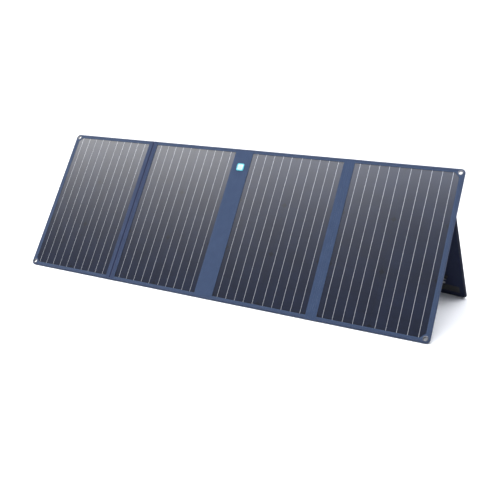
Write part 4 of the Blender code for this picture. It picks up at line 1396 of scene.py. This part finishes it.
def pouch():
    """The cable pouch: a soft box sewn to the back, with piping round its front."""
    low, high = extent("cable_pouch")
    middle = (low + high) / 2
    walls, front = pouch_rows(low, high)
    inner, spots = [], []
    layers = ((walls, POUCH_WALL, 0, 1), (front, 0.2 * POUCH_WALL, POUCH_WALL, 0))
    for rows, sideways, forward, unrolled in layers:
        for row in rows:
            inwards = [Vector((middle.x - p.x, 0, middle.z - p.z)).normalized() for p in row]
            inner.append([p + inward * sideways + FRONT * forward for p, inward in zip(row, inwards)])
            spots.append([(p.x + p.y * unrolled, p.z + p.y * unrolled) for p in row + row[:1]])
    shape = Shape()
    starts = []
    for rows in (walls + front, inner):
        start = shape.rows(rows, spots, wrap=True)
        shape.caps(start, rows, on_face, ends=(-1,))
        starts.append(start)
    outside, inside = starts
    count = len(walls[0])
    for k in range(count):
        n = (k + 1) % count
        rim = [outside + k, outside + n, inside + n, inside + k]
        shape.faces.append((rim, [spots[0][k], spots[0][n]] * 2))
    made = piece("pouch_cloth", shape, CANVAS, "inner_right", "cable_pouch")
    pouch_trim(walls[0], walls[-1], front[0])


def pouch_trim(foot, edge, inside_edge):
    """Piping round the pouch's front edge, a flat tape where it's sewn down, and the seams beside them."""
    def outward(row, k):
        way = row[(k + 1) % len(row)] - row[k - 1]
        return Vector((way.z, 0, -way.x)).normalized()

    piping, sewing = Shape(), Shape()
    radius = 1.1 * MM
    cord = [(radius * math.cos(a), radius * math.sin(a)) for a in (math.radians(36 * k) for k in range(10))]
    flat = [(-0.6 * MM, -1.4 * MM), (5.5 * MM, 0), (5.5 * MM, 0.5 * MM), (-0.6 * MM, 0.5 * MM)]
    for row, profile, lift, up in ((edge, cord, 0.5 * MM, BACK), (foot, flat, 0.0, FRONT)):
        travelled = distances(row)
        stations = [(p + BACK * lift, outward(row, k), up, travelled[k]) for k, p in enumerate(row)]
        piping.sweep(stations, profile, ring=True)
    for row, outset in ((inside_edge, 0.0), (foot, 3.6 * MM)):
        line = [p + outward(row, k) * outset + BACK * (0.1 * MM) for k, p in enumerate(row)]
        sewing.stitches(line + line[:1], BACK)
    piece("pouch_piping", piping, BINDING, "inner_right", sharp=50)
    piece("pouch_stitching", sewing, THREAD, "inner_right")


def pouch_zip():
    """A coil zip along the pouch's top, and its slider with a flat pull."""
    low, high = extent("pouch_zip")
    upright = PANEL @ Matrix.Rotation(-math.pi / 2, 4, "X")
    top, middle, half = high.z + 0.5 * MM, (low.y + high.y) / 2, (high.y - low.y) / 2
    tape, coil, slider = Shape(), Shape(), Shape()
    for way in (-1, 1):
        rows = []
        for x in even(low.x, high.x, 6 * MM):
            depth = -top - ripple(x, way, 30 * MM, 0.25 * MM, 31.0) * 0.5
            rows.append([Vector((x, depth, middle + way * share * half)) for share in (0.16, 0.4, 0.7, 1.0)])
        tape.slab(rows, BACK * (1.6 * MM))
    piece("pouch_zip_tape", tape, WEBBING, "inner_right", "pouch_zip", upright)
    wide, deep, chop = 0.72 * MM, 1.25 * MM, 0.3 * MM
    for number, x in enumerate(even(low.x + 3 * MM, high.x - 3 * MM, ZIP_PITCH)):
        z = middle + (0.55 * MM if number % 2 else -0.55 * MM)
        tooth = cut_rectangle(x - wide, x + wide, z - deep, z + deep, chop, chop)
        plate(coil, tooth, -top - 0.75 * MM, -top + 0.6 * MM, 0.25 * MM)
    piece("pouch_zip_coil", coil, BLACK_PLASTIC, "inner_right", place=upright)
    low, high = extent("zip_pull")
    seat = -low.z - 0.35 * MM
    # The slider's body, its bridge and its pull: (place along the zip, half size, corner, levels), in mm
    for along, half, corner, levels in (
        (4.5, (4.4, 3.4), 1.8, ((0.5, 0), (0, 0.3), (0, 1.1), (0.4, 1.6))),
        (4.9, (2.6, 0.8), 0.7, ((0, 1.5), (0, 2.8), (0.3, 3.1))),
        (19.5, (11, 2.4), 2.2, ((0.2, 1.7), (0, 1.9), (0, 2.5), (0.2, 2.7))),
    ):
        scaled = [(inset * MM, seat - rise * MM) for inset, rise in levels]
        slider.round_plate(low.x + along * MM, middle, [h * MM for h in half], corner * MM, scaled)
    piece("pouch_zip_slider", slider, NICKEL, "zip_slider", "zip_pull", upright, 50)


# ---------------------------------------------------------------- carried-over CAD nodes

def dress_inner_parts():
    """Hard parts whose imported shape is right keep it, with better materials."""
    boards = [f"{section.name}_stiffener" for section in SECTIONS] + [f"{leg.name}_board" for leg in LEGS]
    for finish, nodes in (
        (BOARD, boards + ["spine_stiffener"]),
        (BLACK_PLASTIC, ["spine_lead", "controller_case", "controller_lid"]),
        (NICKEL, ["usb_a_port", "usb_c_port", "dc_port"]),
    ):
        for node in nodes:
            mesh = frame["nodes"][node].data
            mesh.materials.clear()
            mesh.materials.append(finish)


# ---------------------------------------------------------------- studio

def place(name, data, at=(0, 0, 0), facing=None):
    """Adds an object to the scene, at a place and turned so that it looks along facing."""
    made = bpy.data.objects.new(name, data)
    bpy.context.scene.collection.objects.link(made)
    made.location = at
    if facing:
        made.rotation_mode = "QUATERNION"
        made.rotation_quaternion = Vector(facing).to_track_quat("-Z", "Y")
    return made


def camera():
    """Stands right of the middle, above the panel's top, and looks down to the left at it."""
    data = bpy.data.cameras.new("camera")
    data.lens = LENS
    data.sensor_width = 36
    at = PANEL.translation + Vector(CAMERA_AT)
    bpy.context.scene.camera = place("camera", data, at, CAMERA_FACING)


def floor():
    mesh = bpy.data.meshes.new("floor")
    corners = [(x * FLOOR_HALF, y * FLOOR_HALF, 0) for x, y in ((-1, -1), (1, -1), (1, 1), (-1, 1))]
    mesh.from_pydata(corners, [], [(0, 1, 2, 3)])
    mesh.materials.append(FLOOR)
    place("floor", mesh)


def sky():
    """A white horizon that fades to a dim sky."""
    world = bpy.data.worlds.new("studio")
    bpy.context.scene.world = world
    world.use_nodes = True
    tree = world.node_tree
    kinds = ("TexCoord", "SeparateXYZ", "MapRange")
    spot, parts, fade = (tree.nodes.new("ShaderNode" + kind) for kind in kinds)
    tree.links.new(spot.outputs["Generated"], parts.inputs[0])
    tree.links.new(parts.outputs[2], fade.inputs["Value"])
    fade.interpolation_type = "SMOOTHSTEP"
    for socket, value in zip(("From Min", "From Max", "To Min", "To Max"), (*SKY_FADE, HORIZON, SKY)):
        fade.inputs[socket].default_value = value
    background = tree.nodes["Background"]
    background.inputs["Color"].default_value = (0.97, 0.985, 1.0, 1.0)
    tree.links.new(fade.outputs[0], background.inputs["Strength"])


def ceiling():
    """A bank of strips overhead that shows in the film as a soft gradient, and a soft sun straight above."""
    for number, (start, end, radiance) in enumerate(CEILING):
        for side, (left, right, share, fade, colour) in CEILING_SIDES.items():
            name = f"ceiling_{side}_{number}"
            data = bpy.data.lights.new(name, "AREA")
            data.shape = "RECTANGLE"
            data.size, data.size_y = right - left, end - start
            data.energy = math.pi * (right - left) * (end - start) * radiance * share * fade ** number
            data.color = colour
            at = ((left + right) / 2, (start + end) / 2, CEILING_HEIGHT)
            place(name, data, at, (0, 0, -1)).visible_camera = False
    overhead = bpy.data.lights.new("overhead", "SUN")
    overhead.energy = OVERHEAD
    overhead.angle = OVERHEAD_SPREAD
    place("overhead", overhead)


def build():
    camera()
    floor()
    sky()
    ceiling()
    bpy.context.scene.view_settings.view_transform = "Standard"
    for section in SECTIONS:
        for make in (front_canvas, back_canvas, laminate, cell_plates, ribbons, eyelets):
            make(section)
    fold_cloth()
    leads()
    edge_binding()
    sun_dial()
    for leg in LEGS:
        for make in (leg_sleeve, leg_binding, grip_patch, leg_snap, hinge_tape, leg_strap):
            make(leg)
    carry_handle()
    pouch()
    pouch_zip()
    dress_inner_parts()


build()
